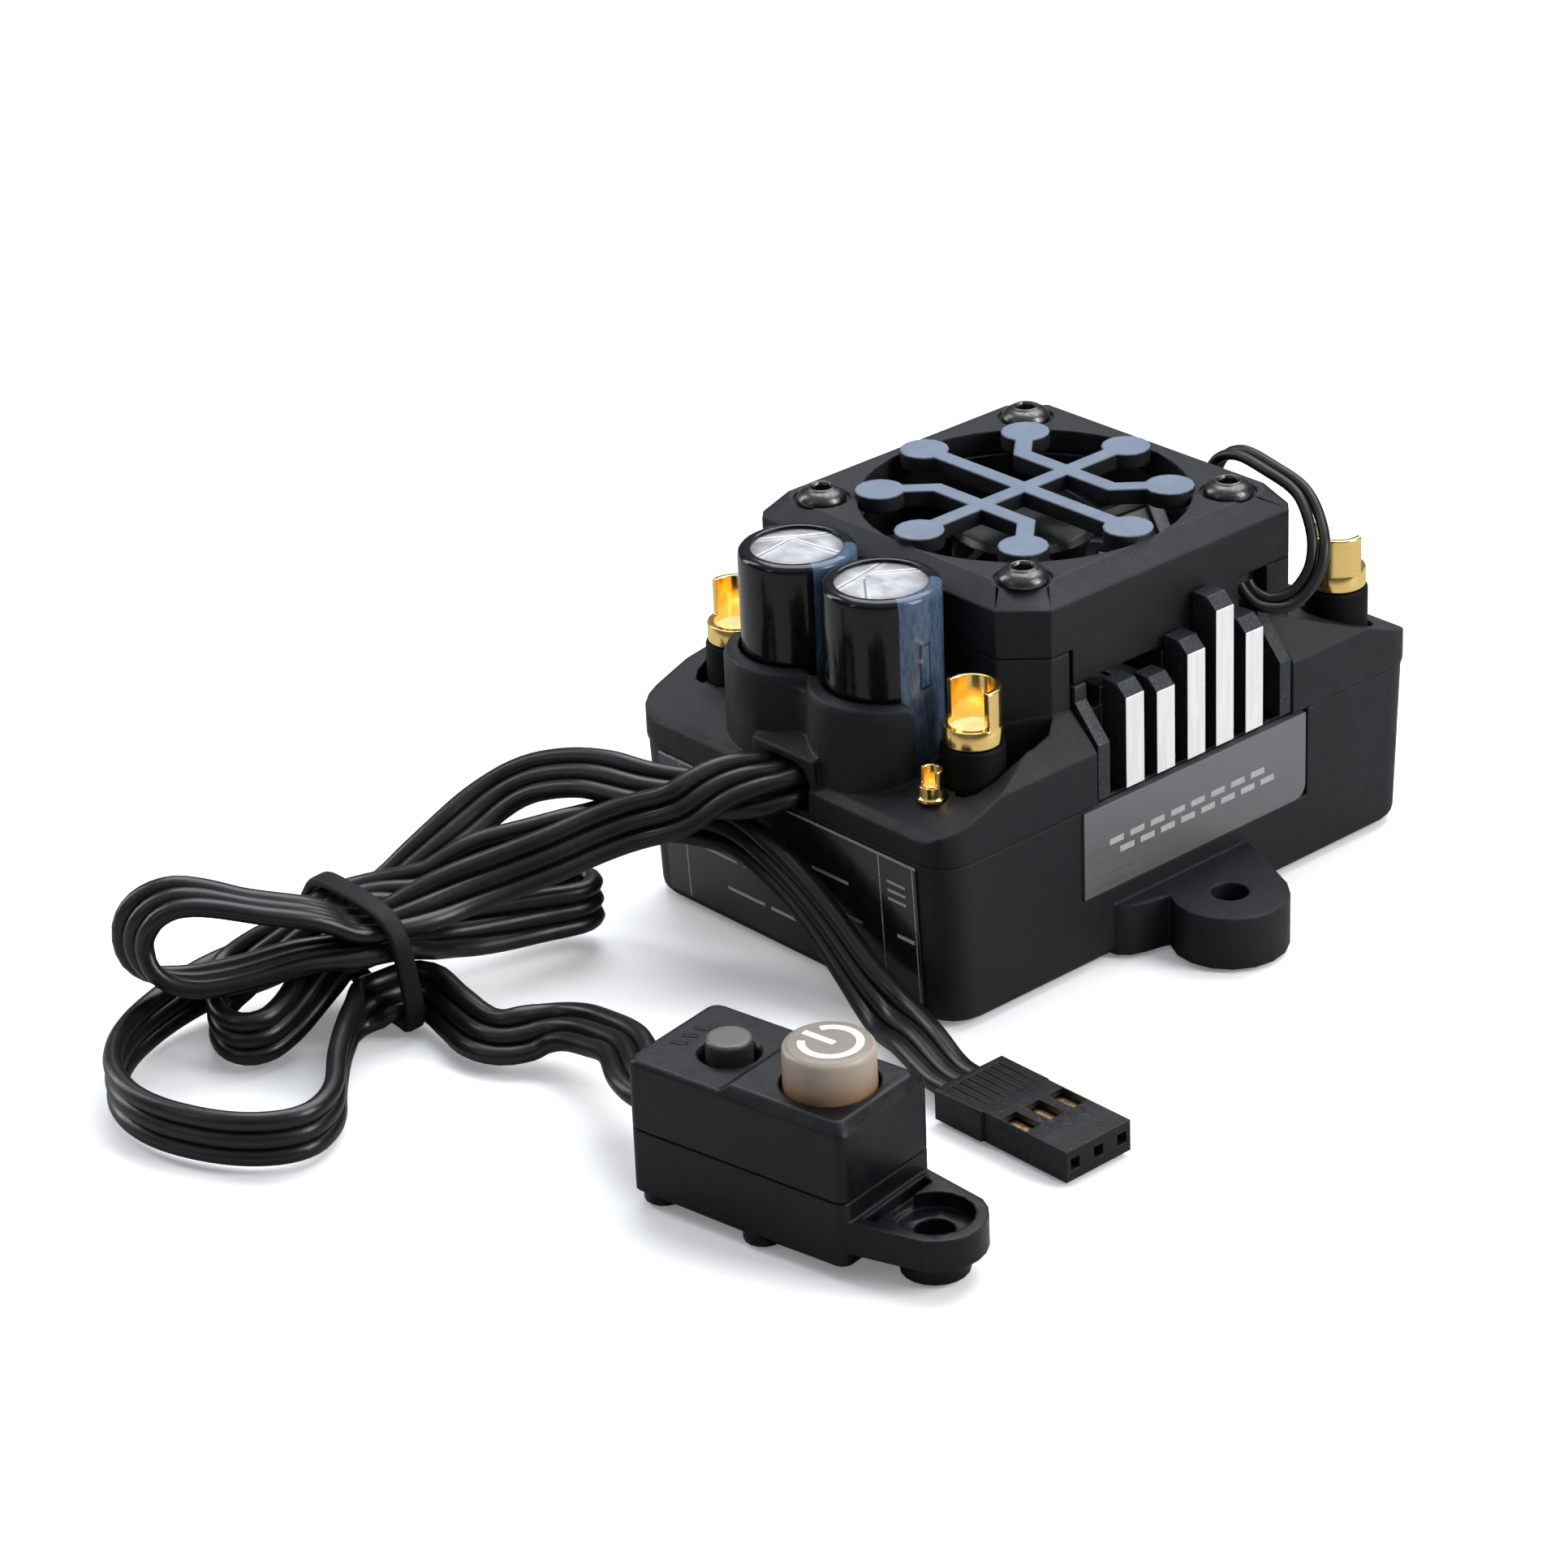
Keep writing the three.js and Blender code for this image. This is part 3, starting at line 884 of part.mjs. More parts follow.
put('receiver_cable', ribbon(RECEIVER_LEAD), FINISH.cable);

const BAND_AXIS = [0.0863, 0.9896, 0.1148]; // direction across the band
const BAND = [                             // x, y, z round the closed loop
  [-26.38, -57.00, 4.77], [-24.25, -57.07, 3.76], [-22.04, -57.16, 2.87],
  [-19.82, -57.25, 1.97], [-17.60, -57.34, 1.08], [-15.38, -57.43, 0.52],
  [-13.28, -57.63, 0.52], [-12.38, -57.95, 2.37], [-12.41, -58.22, 4.74],
  [-12.52, -58.48, 7.11], [-12.96, -58.71, 9.38], [-14.73, -58.70, 10.66],
  [-17.09, -58.52, 10.88], [-19.47, -58.31, 10.85], [-21.84, -58.08, 10.67],
  [-24.10, -57.83, 10.17], [-25.77, -57.50, 8.59], [-27.03, -57.17, 6.65],
];
const BAND_SECTION = [                     // across the band, outwards; flat side to the leads
  [-0.85, 0.2], [-0.6, 0.4], [0.6, 0.4], [0.85, 0.2],
  [0.85, -0.2], [0.6, -0.4], [-0.6, -0.4], [-0.85, -0.2],
];

function cableBand() {
  const count = BAND.length;
  const centres = BAND.map(point => new THREE.Vector3(...point));
  const middle = new THREE.Vector3();
  for (const centre of centres) middle.add(centre);
  middle.divideScalar(count);
  const across = new THREE.Vector3(...BAND_AXIS);
  return skin(centres.map((centre, i) => {
    const along = centres[(i + 1) % count].clone()
      .sub(centres[(i + count - 1) % count]).normalize();
    const outward = along.cross(across).normalize();
    if (outward.dot(centre.clone().sub(middle)) < 0) outward.negate();
    return placeSection(BAND_SECTION, centre, across, outward);
  }), true);
}
put('cable_band', cableBand(), FINISH.rubber);

export default group;
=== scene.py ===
"""A motor speed controller: a finned case with a fan on top, two capacitors and gold posts,
tied leads, a switch pod with two keys, and a receiver plug.

+Z is up and the floor lies at z = 0. The capacitors, the battery posts, the leads and the label
are towards -Y, the motor posts towards +Y, and the badge faces +X.
Lengths are in millimetres unless a comment says otherwise, and become metres on the way out.
"""
import math
from math import cos, pi, radians, sin

import bmesh
import bpy
import numpy as np
from mathutils import Matrix, Vector


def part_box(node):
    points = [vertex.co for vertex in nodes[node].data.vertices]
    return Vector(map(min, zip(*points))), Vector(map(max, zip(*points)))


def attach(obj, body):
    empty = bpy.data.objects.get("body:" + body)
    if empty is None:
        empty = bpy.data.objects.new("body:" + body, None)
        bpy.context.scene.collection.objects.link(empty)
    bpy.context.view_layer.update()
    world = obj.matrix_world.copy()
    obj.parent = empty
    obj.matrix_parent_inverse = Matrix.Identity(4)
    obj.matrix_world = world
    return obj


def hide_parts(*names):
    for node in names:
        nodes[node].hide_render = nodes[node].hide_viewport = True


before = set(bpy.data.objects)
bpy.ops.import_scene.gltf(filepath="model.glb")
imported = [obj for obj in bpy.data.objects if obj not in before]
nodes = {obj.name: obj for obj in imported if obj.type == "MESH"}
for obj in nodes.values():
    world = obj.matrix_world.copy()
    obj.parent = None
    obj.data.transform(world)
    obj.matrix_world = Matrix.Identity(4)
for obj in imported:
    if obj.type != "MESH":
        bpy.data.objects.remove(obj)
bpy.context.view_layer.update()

scene = bpy.context.scene
MM = 0.001
ROOT = "controller"

CAP_X, CAP_Y = 5.03, -21.1  # the capacitors stand at -x and +x


def mm_box(node):
    """Lowest and highest corner of a CAD piece."""
    lo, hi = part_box(node)
    return np.array(lo) / MM, np.array(hi) / MM


def middle(lo, hi):
    """x and y of the middle of a box."""
    return ((lo + hi) / 2)[:2]


# ------------------------------------------------------------------ node trees
def connect(tree, socket, value):
    """Links an input to an output, or sets its value. Colours are given as RGB."""
    if isinstance(value, bpy.types.NodeSocket):
        tree.links.new(value, socket)
    elif socket.type == "RGBA":
        socket.default_value = (*value, 1)
    else:
        socket.default_value = value


def add_node(tree, kind, inputs=None, **settings):
    node = tree.nodes.new(kind)
    for name, value in settings.items():
        setattr(node, name, value)
    for key, value in (inputs or {}).items():
        connect(tree, node.inputs[key], value)
    return node


class Graph:
    """A material whose graph is written in millimetres of the object's own frame."""

    def __init__(self, name):
        self.material = bpy.data.materials.new(name)
        self.material.use_nodes = True
        self.tree = self.material.node_tree
        self.tree.nodes.clear()
        self.shader = self.node("BsdfPrincipled")
        self.node("OutputMaterial", {"Surface": self.shader.outputs[0]})
        metres = self.node("TexCoord").outputs["Object"]
        scaled = self.node("VectorMath", {0: metres, "Scale": 1000.0}, operation="SCALE")
        self.point = scaled.outputs[0]

    def node(self, kind, inputs=None, **settings):
        return add_node(self.tree, "ShaderNode" + kind, inputs, **settings)

    def set(self, **inputs):
        """Sets inputs of the main shader and returns the material."""
        for name, value in inputs.items():
            connect(self.tree, self.shader.inputs[name.replace("_", " ")], value)
        return self.material

    def position(self):
        return self.node("SeparateXYZ", {0: self.point}).outputs

    def facing(self):
        """x, y and z of the surface normal."""
        normal = self.node("NewGeometry").outputs["Normal"]
        return self.node("SeparateXYZ", {0: normal}).outputs

    def math(self, operation, first, second=0.0, *more):
        """A maths node, or a chain of them for more than two values."""
        inputs = {0: first, 1: second, 2: 0.0}
        result = self.node("Math", inputs, operation=operation).outputs[0]
        return self.math(operation, result, *more) if more else result

    def times(self, *values):
        return self.math("MULTIPLY", *values)

    def plus(self, first, second):
        return self.math("ADD", first, second)

    def minus(self, first, second):
        return self.math("SUBTRACT", first, second)

    def above(self, value, limit):
        return self.math("GREATER_THAN", value, limit)

    def below(self, value, limit):
        return self.math("LESS_THAN", value, limit)

    def size(self, value):
        return self.math("ABSOLUTE", value)

    def distance(self, value, centre):
        return self.size(self.minus(value, centre))

    def noise(self, scale, detail=3.0, rough=0.55, stretch=None, distortion=0.0):
        """Noise; stretch multiplies x, y and z, so a small factor draws it out that way."""
        point = self.point
        if stretch:
            point = self.node("VectorMath", {0: point, 1: stretch}, operation="MULTIPLY").outputs[0]
        return self.node("TexNoise", {
            "Vector": point, "Scale": scale, "Detail": detail, "Roughness": rough,
            "Distortion": distortion}).outputs["Fac"]

    def cells(self, scale, feature="F1"):
        inputs = {"Vector": self.point, "Scale": scale}
        return self.node("TexVoronoi", inputs, feature=feature).outputs["Distance"]

    def ramp(self, value, start, end, to=(0.0, 1.0)):
        """Eases from to[0] to to[1] as the value goes from start to end."""
        inputs = {0: value, 1: start, 2: end, 3: to[0], 4: to[1]}
        return self.node("MapRange", inputs, interpolation_type="SMOOTHSTEP").outputs[0]

    def spread(self, noise, low=0.0, high=1.0):
        """Opens the middle of a noise out to the range low..high."""
        return self.ramp(noise, 0.3, 0.7, to=(low, high))

    def between(self, value, rise, fall):
        """1 between the rise and the fall, each a pair of the values at its 0 and its 1."""
        fall = fall[::-1]
        return self.times(self.ramp(value, *rise), self.ramp(value, *fall[::-1]))

    def mix(self, factor, first, second):
        node = self.node("Mix", {"Factor": factor}, data_type="RGBA")
        colours = [socket for socket in node.inputs if socket.type == "RGBA"]
        connect(self.tree, colours[0], first)
        connect(self.tree, colours[1], second)
        return [socket for socket in node.outputs if socket.type == "RGBA"][0]

    def paint(self, base, colour, mask, amount):
        """Lays a colour over the base where the mask is 1."""
        return self.mix(self.times(mask, amount), base, colour)

    def bump(self, height, depth, strength=0.5, normal=None):
        inputs = {"Strength": strength, "Distance": depth * MM, "Height": height}
        if normal:
            inputs["Normal"] = normal
        return self.node("Bump", inputs).outputs[0]

    def rounded_normal(self, radius):
        return self.node("Bevel", {"Radius": radius * MM}, samples=4).outputs[0]

    def edge_mask(self, rounded):
        """1 where the rounded normal leaves the true one."""
        true = self.node("NewGeometry").outputs["True Normal"]
        dot = self.node("VectorMath", {0: rounded, 1: true}, operation="DOT_PRODUCT")
        return self.ramp(dot.outputs["Value"], 0.995, 0.93)

    def drifting(self, colour):
        """A colour that drifts slowly between darker and lighter."""
        return self.mix(self.noise(0.16), shade(colour, 0.75), shade(colour, 1.3))

    def uneven_roughness(self, rough):
        return self.ramp(self.noise(0.5, detail=4), 0.25, 0.75, to=(rough - 0.06, rough + 0.08))

    def grain_bump(self, noise_scale, cell_scale, depth, normal):
        """Spark-eroded grain: fine noise with pits half as deep."""
        pits = self.times(self.cells(cell_scale), 0.5)
        height = self.plus(self.noise(noise_scale, detail=2, rough=0.6), pits)
        return self.bump(height, depth, strength=0.8, normal=normal)


def srgb(*channels):
    """0-255 screen values to linear light."""
    return tuple(((c / 255 + 0.055) / 1.055) ** 2.4 if c > 10 else c / 255 / 12.92
                 for c in channels)


def shade(colour, factor, lift=0.0):
    return tuple(c * factor + lift for c in colour)


# ------------------------------------------------------------------ materials
# rough, spec and metallic values are the shader's own; depth is the bump height in mm,
# edge the radius in mm of the rounding that is shaded onto edges
CASE = (0.0062, 0.0066, 0.0086)
CASE_EDGE = (0.022, 0.023, 0.027)
LEAD = (0.005, 0.005, 0.0055)


def plastic(name, colour, rough, grain, depth, edge, spec=0.5, edge_colour=None):
    """Moulded plastic: spark-eroded grain, slight shade drift, and a painted highlight along the
    edges.
    """
    mat = Graph(name)
    normal = mat.rounded_normal(edge)
    # painted highlight: the edges are lightened, more in some patches than others
    edge_sheen = mat.ramp(mat.noise(1.4), 0.3, 0.7, to=(0.25, 0.7))
    base = mat.paint(mat.drifting(colour), edge_colour or shade(colour, 2.2, lift=0.004),
                     mask=mat.edge_mask(normal), amount=edge_sheen)
    dust = mat.ramp(mat.noise(9.0, detail=1), 0.76, 0.8)
    base = mat.paint(base, (0.25, 0.26, 0.28), mask=dust, amount=0.12)
    return mat.set(Base_Color=base, Roughness=mat.uneven_roughness(rough), Specular_IOR_Level=spec,
                   Normal=mat.grain_bump(grain, grain * 0.9, depth, normal))


def metal_base(name, colour, tint, brush=(1, 1, 1), scale=3.0, depth=0.01, edge=0.1):
    """Metal with faint tool marks, still without its roughness."""
    mat = Graph(name)
    marks = mat.noise(scale, detail=4, rough=0.6, stretch=brush)
    mat.set(Base_Color=mat.mix(mat.spread(marks), colour, tint), Metallic=1.0,
            Normal=mat.bump(marks, depth, normal=mat.rounded_normal(edge)))
    return mat, marks


def metal(name, colour, rough, tint=None, **marking):
    """Machined or plated metal."""
    mat, marks = metal_base(name, colour, tint or shade(colour, 0.86), **marking)
    return mat.set(Roughness=mat.spread(marks, rough * 0.8, rough * 1.25))


def cover_material():
    """Case plastic, with paint over the raised traces; their undercut edges stay black."""
    mat = Graph("fan_cover_two_tone")
    normal = mat.rounded_normal(0.3)
    # painted highlight along the edges of the black plastic
    black = mat.paint(mat.drifting(CASE), CASE_EDGE, mask=mat.edge_mask(normal), amount=0.45)
    paint = mat.mix(mat.noise(0.5, detail=4), srgb(92, 103, 120), srgb(114, 125, 142))
    speck = mat.ramp(mat.noise(14, detail=1), 0.66, 0.74)
    paint = mat.paint(paint, srgb(140, 151, 167), mask=speck, amount=0.3)
    raised = mat.ramp(mat.position()[2], 33.76, 33.82)
    return mat.set(
        Base_Color=mat.mix(raised, black, paint),
        Roughness=mat.plus(mat.times(raised, -0.06), mat.uneven_roughness(0.5)),
        Specular_IOR_Level=0.3,
        Normal=mat.grain_bump(noise_scale=7.5, cell_scale=6.5, depth=0.032, normal=normal))


def sleeve_material(name, centre_x, framed):
    """Shrink sleeve: gloss black with a blue stripe, which may carry a printed frame."""
    mat = Graph(name)
    x, y, z = mat.position()
    turn = mat.math("ARCTAN2", mat.minus(y, CAP_Y), mat.minus(x, centre_x))
    wobble = mat.times(mat.minus(mat.noise(0.8, detail=2), 0.5), 1.6)
    degrees = mat.plus(mat.times(turn, 180 / pi), wobble)
    stripe = mat.between(degrees, rise=(-27.6, -26.4), fall=(50.5, 49.5))
    black = mat.mix(mat.noise(0.4), (0.002, 0.002, 0.0025), (0.004, 0.004, 0.005))
    ink = mat.noise(2.2, detail=6, rough=0.7, stretch=(1, 1, 0.35))
    blue = mat.mix(mat.spread(ink), srgb(50, 66, 88), srgb(78, 95, 118))
    if framed:
        across, along = mat.distance(degrees, 0.3), mat.distance(z, 27.75)
        outer = mat.times(mat.below(across, 7.2), mat.below(along, 2.0))
        inner = mat.times(mat.below(across, 4.9), mat.below(along, 1.74))
        blue = mat.paint(blue, (0.012, 0.014, 0.02), mask=mat.minus(outer, inner), amount=0.85)
    # small printed ticks run round the shoulder on the side away from the stripe
    tick = mat.above(mat.math("SINE", mat.times(degrees, 0.55)), 0.25)
    zone = mat.times(mat.ramp(mat.size(degrees), 150, 152),
                     mat.between(z, rise=(33.05, 33.1), fall=(33.75, 33.7)))
    black = mat.paint(black, srgb(120, 140, 165), mask=mat.times(tick, zone), amount=0.5)
    wrinkle = mat.noise(0.9, rough=0.5, stretch=(1, 1, 0.25))
    return mat.set(
        Base_Color=mat.mix(stripe, black, blue),
        Roughness=mat.spread(mat.noise(1.2, detail=4), 0.1, 0.2),
        Specular_IOR_Level=0.32, Coat_Weight=0.06, Coat_Roughness=0.08,
        Normal=mat.bump(wrinkle, depth=0.06))


def can_material():
    """Rolled aluminium, with painted shade at the bottom of the vent grooves."""
    mat = Graph("can_aluminium")
    roll = mat.noise(2.5, detail=5, rough=0.6, stretch=(0.12, 1, 1))
    cloud = mat.noise(0.5, detail=4)
    base = mat.mix(mat.spread(roll), (0.46, 0.46, 0.475), (0.56, 0.56, 0.57))
    base = mat.paint(base, (0.42, 0.42, 0.44), mask=cloud, amount=0.3)
    # painted shade darkens the bottoms of the vent grooves
    groove_shade = mat.minus(1.0, mat.ramp(mat.position()[2], 33.655, 33.685))
    base = mat.paint(base, (0.06, 0.06, 0.065), mask=groove_shade, amount=0.7)
    return mat.set(Base_Color=base, Metallic=0.75, Roughness=mat.spread(cloud, 0.32, 0.5),
                   Normal=mat.bump(roll, depth=0.008))


def gold_material():
    """Gold plate; the floors of the posts' cups are rougher and carry a painted glow."""
    mat, _ = metal_base("gold_plate", (0.95, 0.64, 0.2), tint=(0.99, 0.73, 0.27),
                        brush=(0.3, 0.3, 5), scale=1.6, depth=0.006, edge=0.08)
    z = mat.position()[2]
    floors = mat.math("MAXIMUM", mat.between(z, rise=(22.95, 23.05), fall=(23.55, 23.45)),
                      mat.between(z, rise=(19.0, 19.05), fall=(19.5, 19.45)))
    # painted glow: the upward-facing cup floors are made rougher and emit a warm light
    cup_glow = mat.times(floors, mat.ramp(mat.facing()[2], 0.25, 0.6))
    cloud = mat.noise(1.2, detail=4)
    return mat.set(
        Roughness=mat.plus(mat.times(cup_glow, 0.36), mat.spread(cloud, 0.12, 0.2)),
        Emission_Color=(1.0, 0.88, 0.5),
        Emission_Strength=mat.times(cup_glow, mat.ramp(cloud, 0.2, 0.8, to=(0.5, 0.8))))


def fin_material():
    """Black anodised fins, bare where the bars' outer faces are machined."""
    mat = Graph("fin_metal")
    x, y, _ = mat.position()
    speck = mat.ramp(mat.noise(6.0, detail=2, rough=0.7), 0.5, 0.78)
    base = mat.mix(speck, (0.018, 0.021, 0.023), (0.085, 0.095, 0.10))
    outer_face = mat.times(mat.above(mat.size(x), 18.93),
                           mat.above(mat.size(mat.facing()[0]), 0.85))
    bar = mat.times(mat.above(y, -7.6), mat.below(y, 9.0))
    bare = mat.times(outer_face, bar)
    milling = mat.noise(2.4, detail=5, rough=0.65, stretch=(1, 1, 0.06))
    aluminium = mat.mix(mat.spread(milling), (0.8, 0.8, 0.805), (0.92, 0.92, 0.92))
    normal = mat.rounded_normal(0.14)
    # painted highlight along the edges of the anodised fins
    base = mat.paint(base, (0.11, 0.12, 0.125), mask=mat.edge_mask(normal), amount=0.5)
    grit = mat.times(mat.noise(6.0, detail=2, rough=0.7), mat.minus(1.0, bare))
    return mat.set(
        Base_Color=mat.mix(bare, base, aluminium),
        Metallic=mat.plus(mat.times(bare, 0.05), 0.45),
        Roughness=mat.plus(mat.times(bare, 0.06), mat.ramp(speck, 0, 1, to=(0.42, 0.3))),
        Normal=mat.bump(mat.plus(grit, mat.times(milling, 0.25)), depth=0.03, strength=0.8,
                        normal=normal))


def badge_material():
    """Satin metal brushed along y, with painted light that makes it a little paler towards the top.
    """
    mat = Graph("satin_badge")
    _, y, z = mat.position()
    brush = mat.noise(1.8, detail=5, rough=0.6, stretch=(1, 0.05, 1.6))
    # painted light: the badge grows paler towards the top
    top_light = mat.ramp(mat.plus(z, mat.times(y, 0.12)), 5.5, 14.5)
    base = mat.mix(top_light, srgb(111, 113, 114), srgb(118, 119, 121))
    base = mat.paint(base, srgb(132, 134, 136), mask=mat.ramp(brush, 0.35, 0.7), amount=0.15)
    return mat.set(Base_Color=base, Metallic=0.55, Roughness=mat.spread(brush, 0.32, 0.44),
                   Normal=mat.bump(brush, depth=0.006))


def label_material():
    """Gloss black label with three upright printed lines and one along the top."""
    mat = Graph("gloss_label")
    x, _, z = mat.position()
    base = mat.mix(mat.noise(0.3), (0.006, 0.006, 0.007), (0.011, 0.011, 0.012))
    uprights = [mat.below(mat.distance(x, line_x), 0.075) for line_x in (-13.05, 11.3, 15.25)]
    lines = mat.math("MAXIMUM", *uprights, mat.above(z, 13.93))
    ink = mat.times(mat.ramp(mat.noise(5), 0.25, 0.5), 0.75)
    base = mat.paint(base, (0.42, 0.42, 0.43), mask=lines, amount=ink)
    return mat.set(
        Base_Color=base, Roughness=mat.spread(mat.noise(0.7, detail=4), 0.16, 0.26),
        Specular_IOR_Level=0.5, Coat_Weight=0.4, Coat_Roughness=0.12,
        Normal=mat.bump(mat.noise(0.5), depth=0.05, strength=0.35))


def ink_material():
    mat = Graph("pale_print")
    blotch = mat.noise(2.2)
    return mat.set(
        Base_Color=mat.mix(mat.spread(blotch), srgb(158, 159, 160), srgb(176, 177, 177)),
        Roughness=mat.spread(blotch, 0.4, 0.6), Normal=mat.bump(blotch, depth=0.01))


def rubber(name, colour, scuff_scale, spec, rough):
    """Soft black insulation with dull scuffs and specks of dust."""
    mat = Graph(name)
    drift = mat.noise(0.25, detail=4)
    base = mat.mix(drift, shade(colour, 0.7), shade(colour, 1.5))
    scuff = mat.ramp(mat.noise(scuff_scale, detail=5, rough=0.7, distortion=0.6), 0.6, 0.78)
    base = mat.paint(base, (0.04, 0.04, 0.042), mask=scuff, amount=0.35)
    dust = mat.ramp(mat.noise(7.0, detail=1), 0.77, 0.81)
    base = mat.paint(base, (0.3, 0.3, 0.31), mask=dust, amount=0.2)
    height = mat.plus(mat.noise(1.1, detail=4, rough=0.6),
                      mat.times(mat.noise(9, detail=2), 0.15))
    return mat.set(
        Base_Color=base,
        Roughness=mat.plus(mat.times(scuff, 0.15), mat.spread(drift, rough - 0.04, rough + 0.05)),
        Specular_IOR_Level=spec, Normal=mat.bump(height, depth=0.035, strength=0.6))


def set_key_material():
    """Dark below, grey towards the top."""
    mat = Graph("set_key_plastic")
    wear = mat.noise(3.5, detail=5, rough=0.65)
    rim = mat.ramp(mat.position()[2], 13.2, 13.75)
    base = mat.mix(rim, (0.024, 0.023, 0.023), srgb(90, 86, 84))
    base = mat.paint(base, srgb(72, 69, 68), mask=mat.ramp(wear, 0.35, 0.7), amount=0.4)
    return mat.set(Base_Color=base, Metallic=0.25, Roughness=mat.spread(wear, 0.36, 0.5),
                   Normal=mat.bump(wear, depth=0.02, strength=0.6))


def power_key_material():
    """Milky silicone, greyer on its face and warmer down its side."""
    mat = Graph("milky_silicone")
    z = mat.position()[2]
    base = mat.mix(mat.ramp(z, 12.4, 16.1), srgb(136, 100, 66), srgb(160, 150, 138))
    face = mat.times(mat.ramp(z, 16.02, 16.16), mat.ramp(mat.facing()[2], 0.6, 0.95))
    base = mat.mix(face, base, srgb(120, 112, 104))
    cloud = mat.noise(1.2, detail=4)
    base = mat.paint(base, srgb(176, 166, 152), mask=cloud, amount=0.2)
    return mat.set(
        Base_Color=base, Roughness=mat.spread(cloud, 0.3, 0.42), Specular_IOR_Level=0.45,
        Subsurface_Weight=0.35, Subsurface_Scale=0.002, Subsurface_Radius=(1.0, 0.75, 0.5),
        Normal=mat.bump(mat.noise(6, detail=2), depth=0.01))


def symbol_material():
    mat = Graph("white_symbol")
    blotch = mat.noise(4)
    # painted glow: a weak emission brightens the white print
    return mat.set(
        Base_Color=mat.mix(blotch, (0.86, 0.86, 0.85), (0.96, 0.96, 0.955)),
        Roughness=mat.spread(blotch, 0.35, 0.5), Emission_Color=(1, 1, 1), Emission_Strength=0.18,
        Normal=mat.bump(blotch, depth=0.005, strength=0.4))


def plug_material():
    """Nylon, scuffed and chewed round the plug's latch windows."""
    mat = Graph("plug_nylon")
    base = mat.mix(mat.noise(0.5, detail=4), (0.004, 0.004, 0.005), (0.009, 0.009, 0.01))
    windows = mat.between(mat.position()[0], rise=(32.5, 35.0), fall=(40.5, 38.0))
    chew = mat.noise(1.7, detail=6, rough=0.75, distortion=0.8)
    scratches = mat.times(mat.ramp(chew, 0.52, 0.66), windows)
    base = mat.paint(base, (0.045, 0.046, 0.052), mask=scratches, amount=0.75)
    normal = mat.rounded_normal(0.12)
    # painted highlight along the plug's edges
    base = mat.paint(base, (0.05, 0.05, 0.052), mask=mat.edge_mask(normal), amount=0.5)
    height = mat.plus(mat.times(chew, windows, 3.0), mat.noise(5, detail=2))
    return mat.set(
        Base_Color=base, Roughness=mat.spread(chew, 0.32, 0.5), Specular_IOR_Level=0.24,
        Normal=mat.bump(height, depth=0.045, strength=0.8, normal=normal))


def board_material():
    """Green solder mask over a web of raised cells."""
    mat = Graph("solder_mask")
    web = mat.cells(0.9, feature="DISTANCE_TO_EDGE")
    return mat.set(
        Base_Color=mat.mix(mat.ramp(web, 0.02, 0.06), (0.02, 0.07, 0.03), (0.008, 0.03, 0.014)),
        Roughness=mat.spread(mat.noise(3), 0.3, 0.45),
        Normal=mat.bump(mat.ramp(web, 0.02, 0.06), depth=0.03, strength=0.6))


materials = {
    "case": plastic("moulded_case", CASE, rough=0.5, grain=7.0, depth=0.035, edge=0.35, spec=0.3,
                    edge_colour=CASE_EDGE),
    "fan": plastic("fan_plastic", (0.006, 0.006, 0.007), rough=0.34, grain=7, depth=0.008,
                   edge=0.15, spec=0.4),
    "collar": plastic("collar_plastic", (0.0025, 0.0025, 0.003), rough=0.6, grain=6, depth=0.012,
                      edge=0.1, spec=0.12),
    "switch": plastic("switch_plastic", (0.0028, 0.003, 0.0042), rough=0.33, grain=6, depth=0.014,
                      edge=0.3, spec=0.27, edge_colour=(0.014, 0.015, 0.019)),
    "cover": cover_material(),
    "sleeve_left": sleeve_material("sleeve_film_left", -CAP_X, framed=False),
    "sleeve_right": sleeve_material("sleeve_film_right", CAP_X, framed=True),
    "can": can_material(),
    "gold": gold_material(),
    "steel": metal("black_oxide", (0.105, 0.101, 0.098), rough=0.3, tint=(0.07, 0.069, 0.069),
                   scale=2.5, depth=0.0015, edge=0.12),
    "shaft": metal("shaft_steel", (0.6, 0.6, 0.62), rough=0.2, brush=(0.3, 0.3, 4), depth=0.004),
    "bronze": metal("sintered_bronze", (0.42, 0.27, 0.12), rough=0.45, scale=8, depth=0.02),
    "winding": metal("copper_winding", (0.55, 0.25, 0.1), rough=0.35, brush=(1, 1, 6), scale=2.0,
                     depth=0.05),
    "fin": fin_material(),
    "badge": badge_material(),
    "label": label_material(),
    "ink": ink_material(),
    "lead": rubber("lead_insulation", LEAD, scuff_scale=1.6, spec=0.42, rough=0.33),
    "wire": rubber("fan_wire_insulation", LEAD, scuff_scale=2.5, spec=0.35, rough=0.38),
    "band": rubber("band_rubber", (0.005, 0.005, 0.0052), scuff_scale=2.2, spec=0.22, rough=0.6),
    "set_key": set_key_material(),
    "power_key": power_key_material(),
    "symbol": symbol_material(),
    "plug": plug_material(),
    "contact": metal("gold_contact", (0.9, 0.6, 0.3), rough=0.25, tint=(0.8, 0.5, 0.24),
                     scale=3, depth=0.02, edge=0.08),
    "board": board_material(),
    "package": plastic("chip_epoxy", (0.012, 0.012, 0.012), rough=0.55, grain=8, depth=0.015,
                       edge=0.1),
    "pad": plastic("thermal_pad", (0.25, 0.27, 0.3), rough=0.8, grain=3, depth=0.03, edge=0.1),
    "socket": plastic("socket_nylon", (0.7, 0.68, 0.62), rough=0.45, grain=6, depth=0.01,
                      edge=0.15, edge_colour=(0.75, 0.73, 0.68)),
}

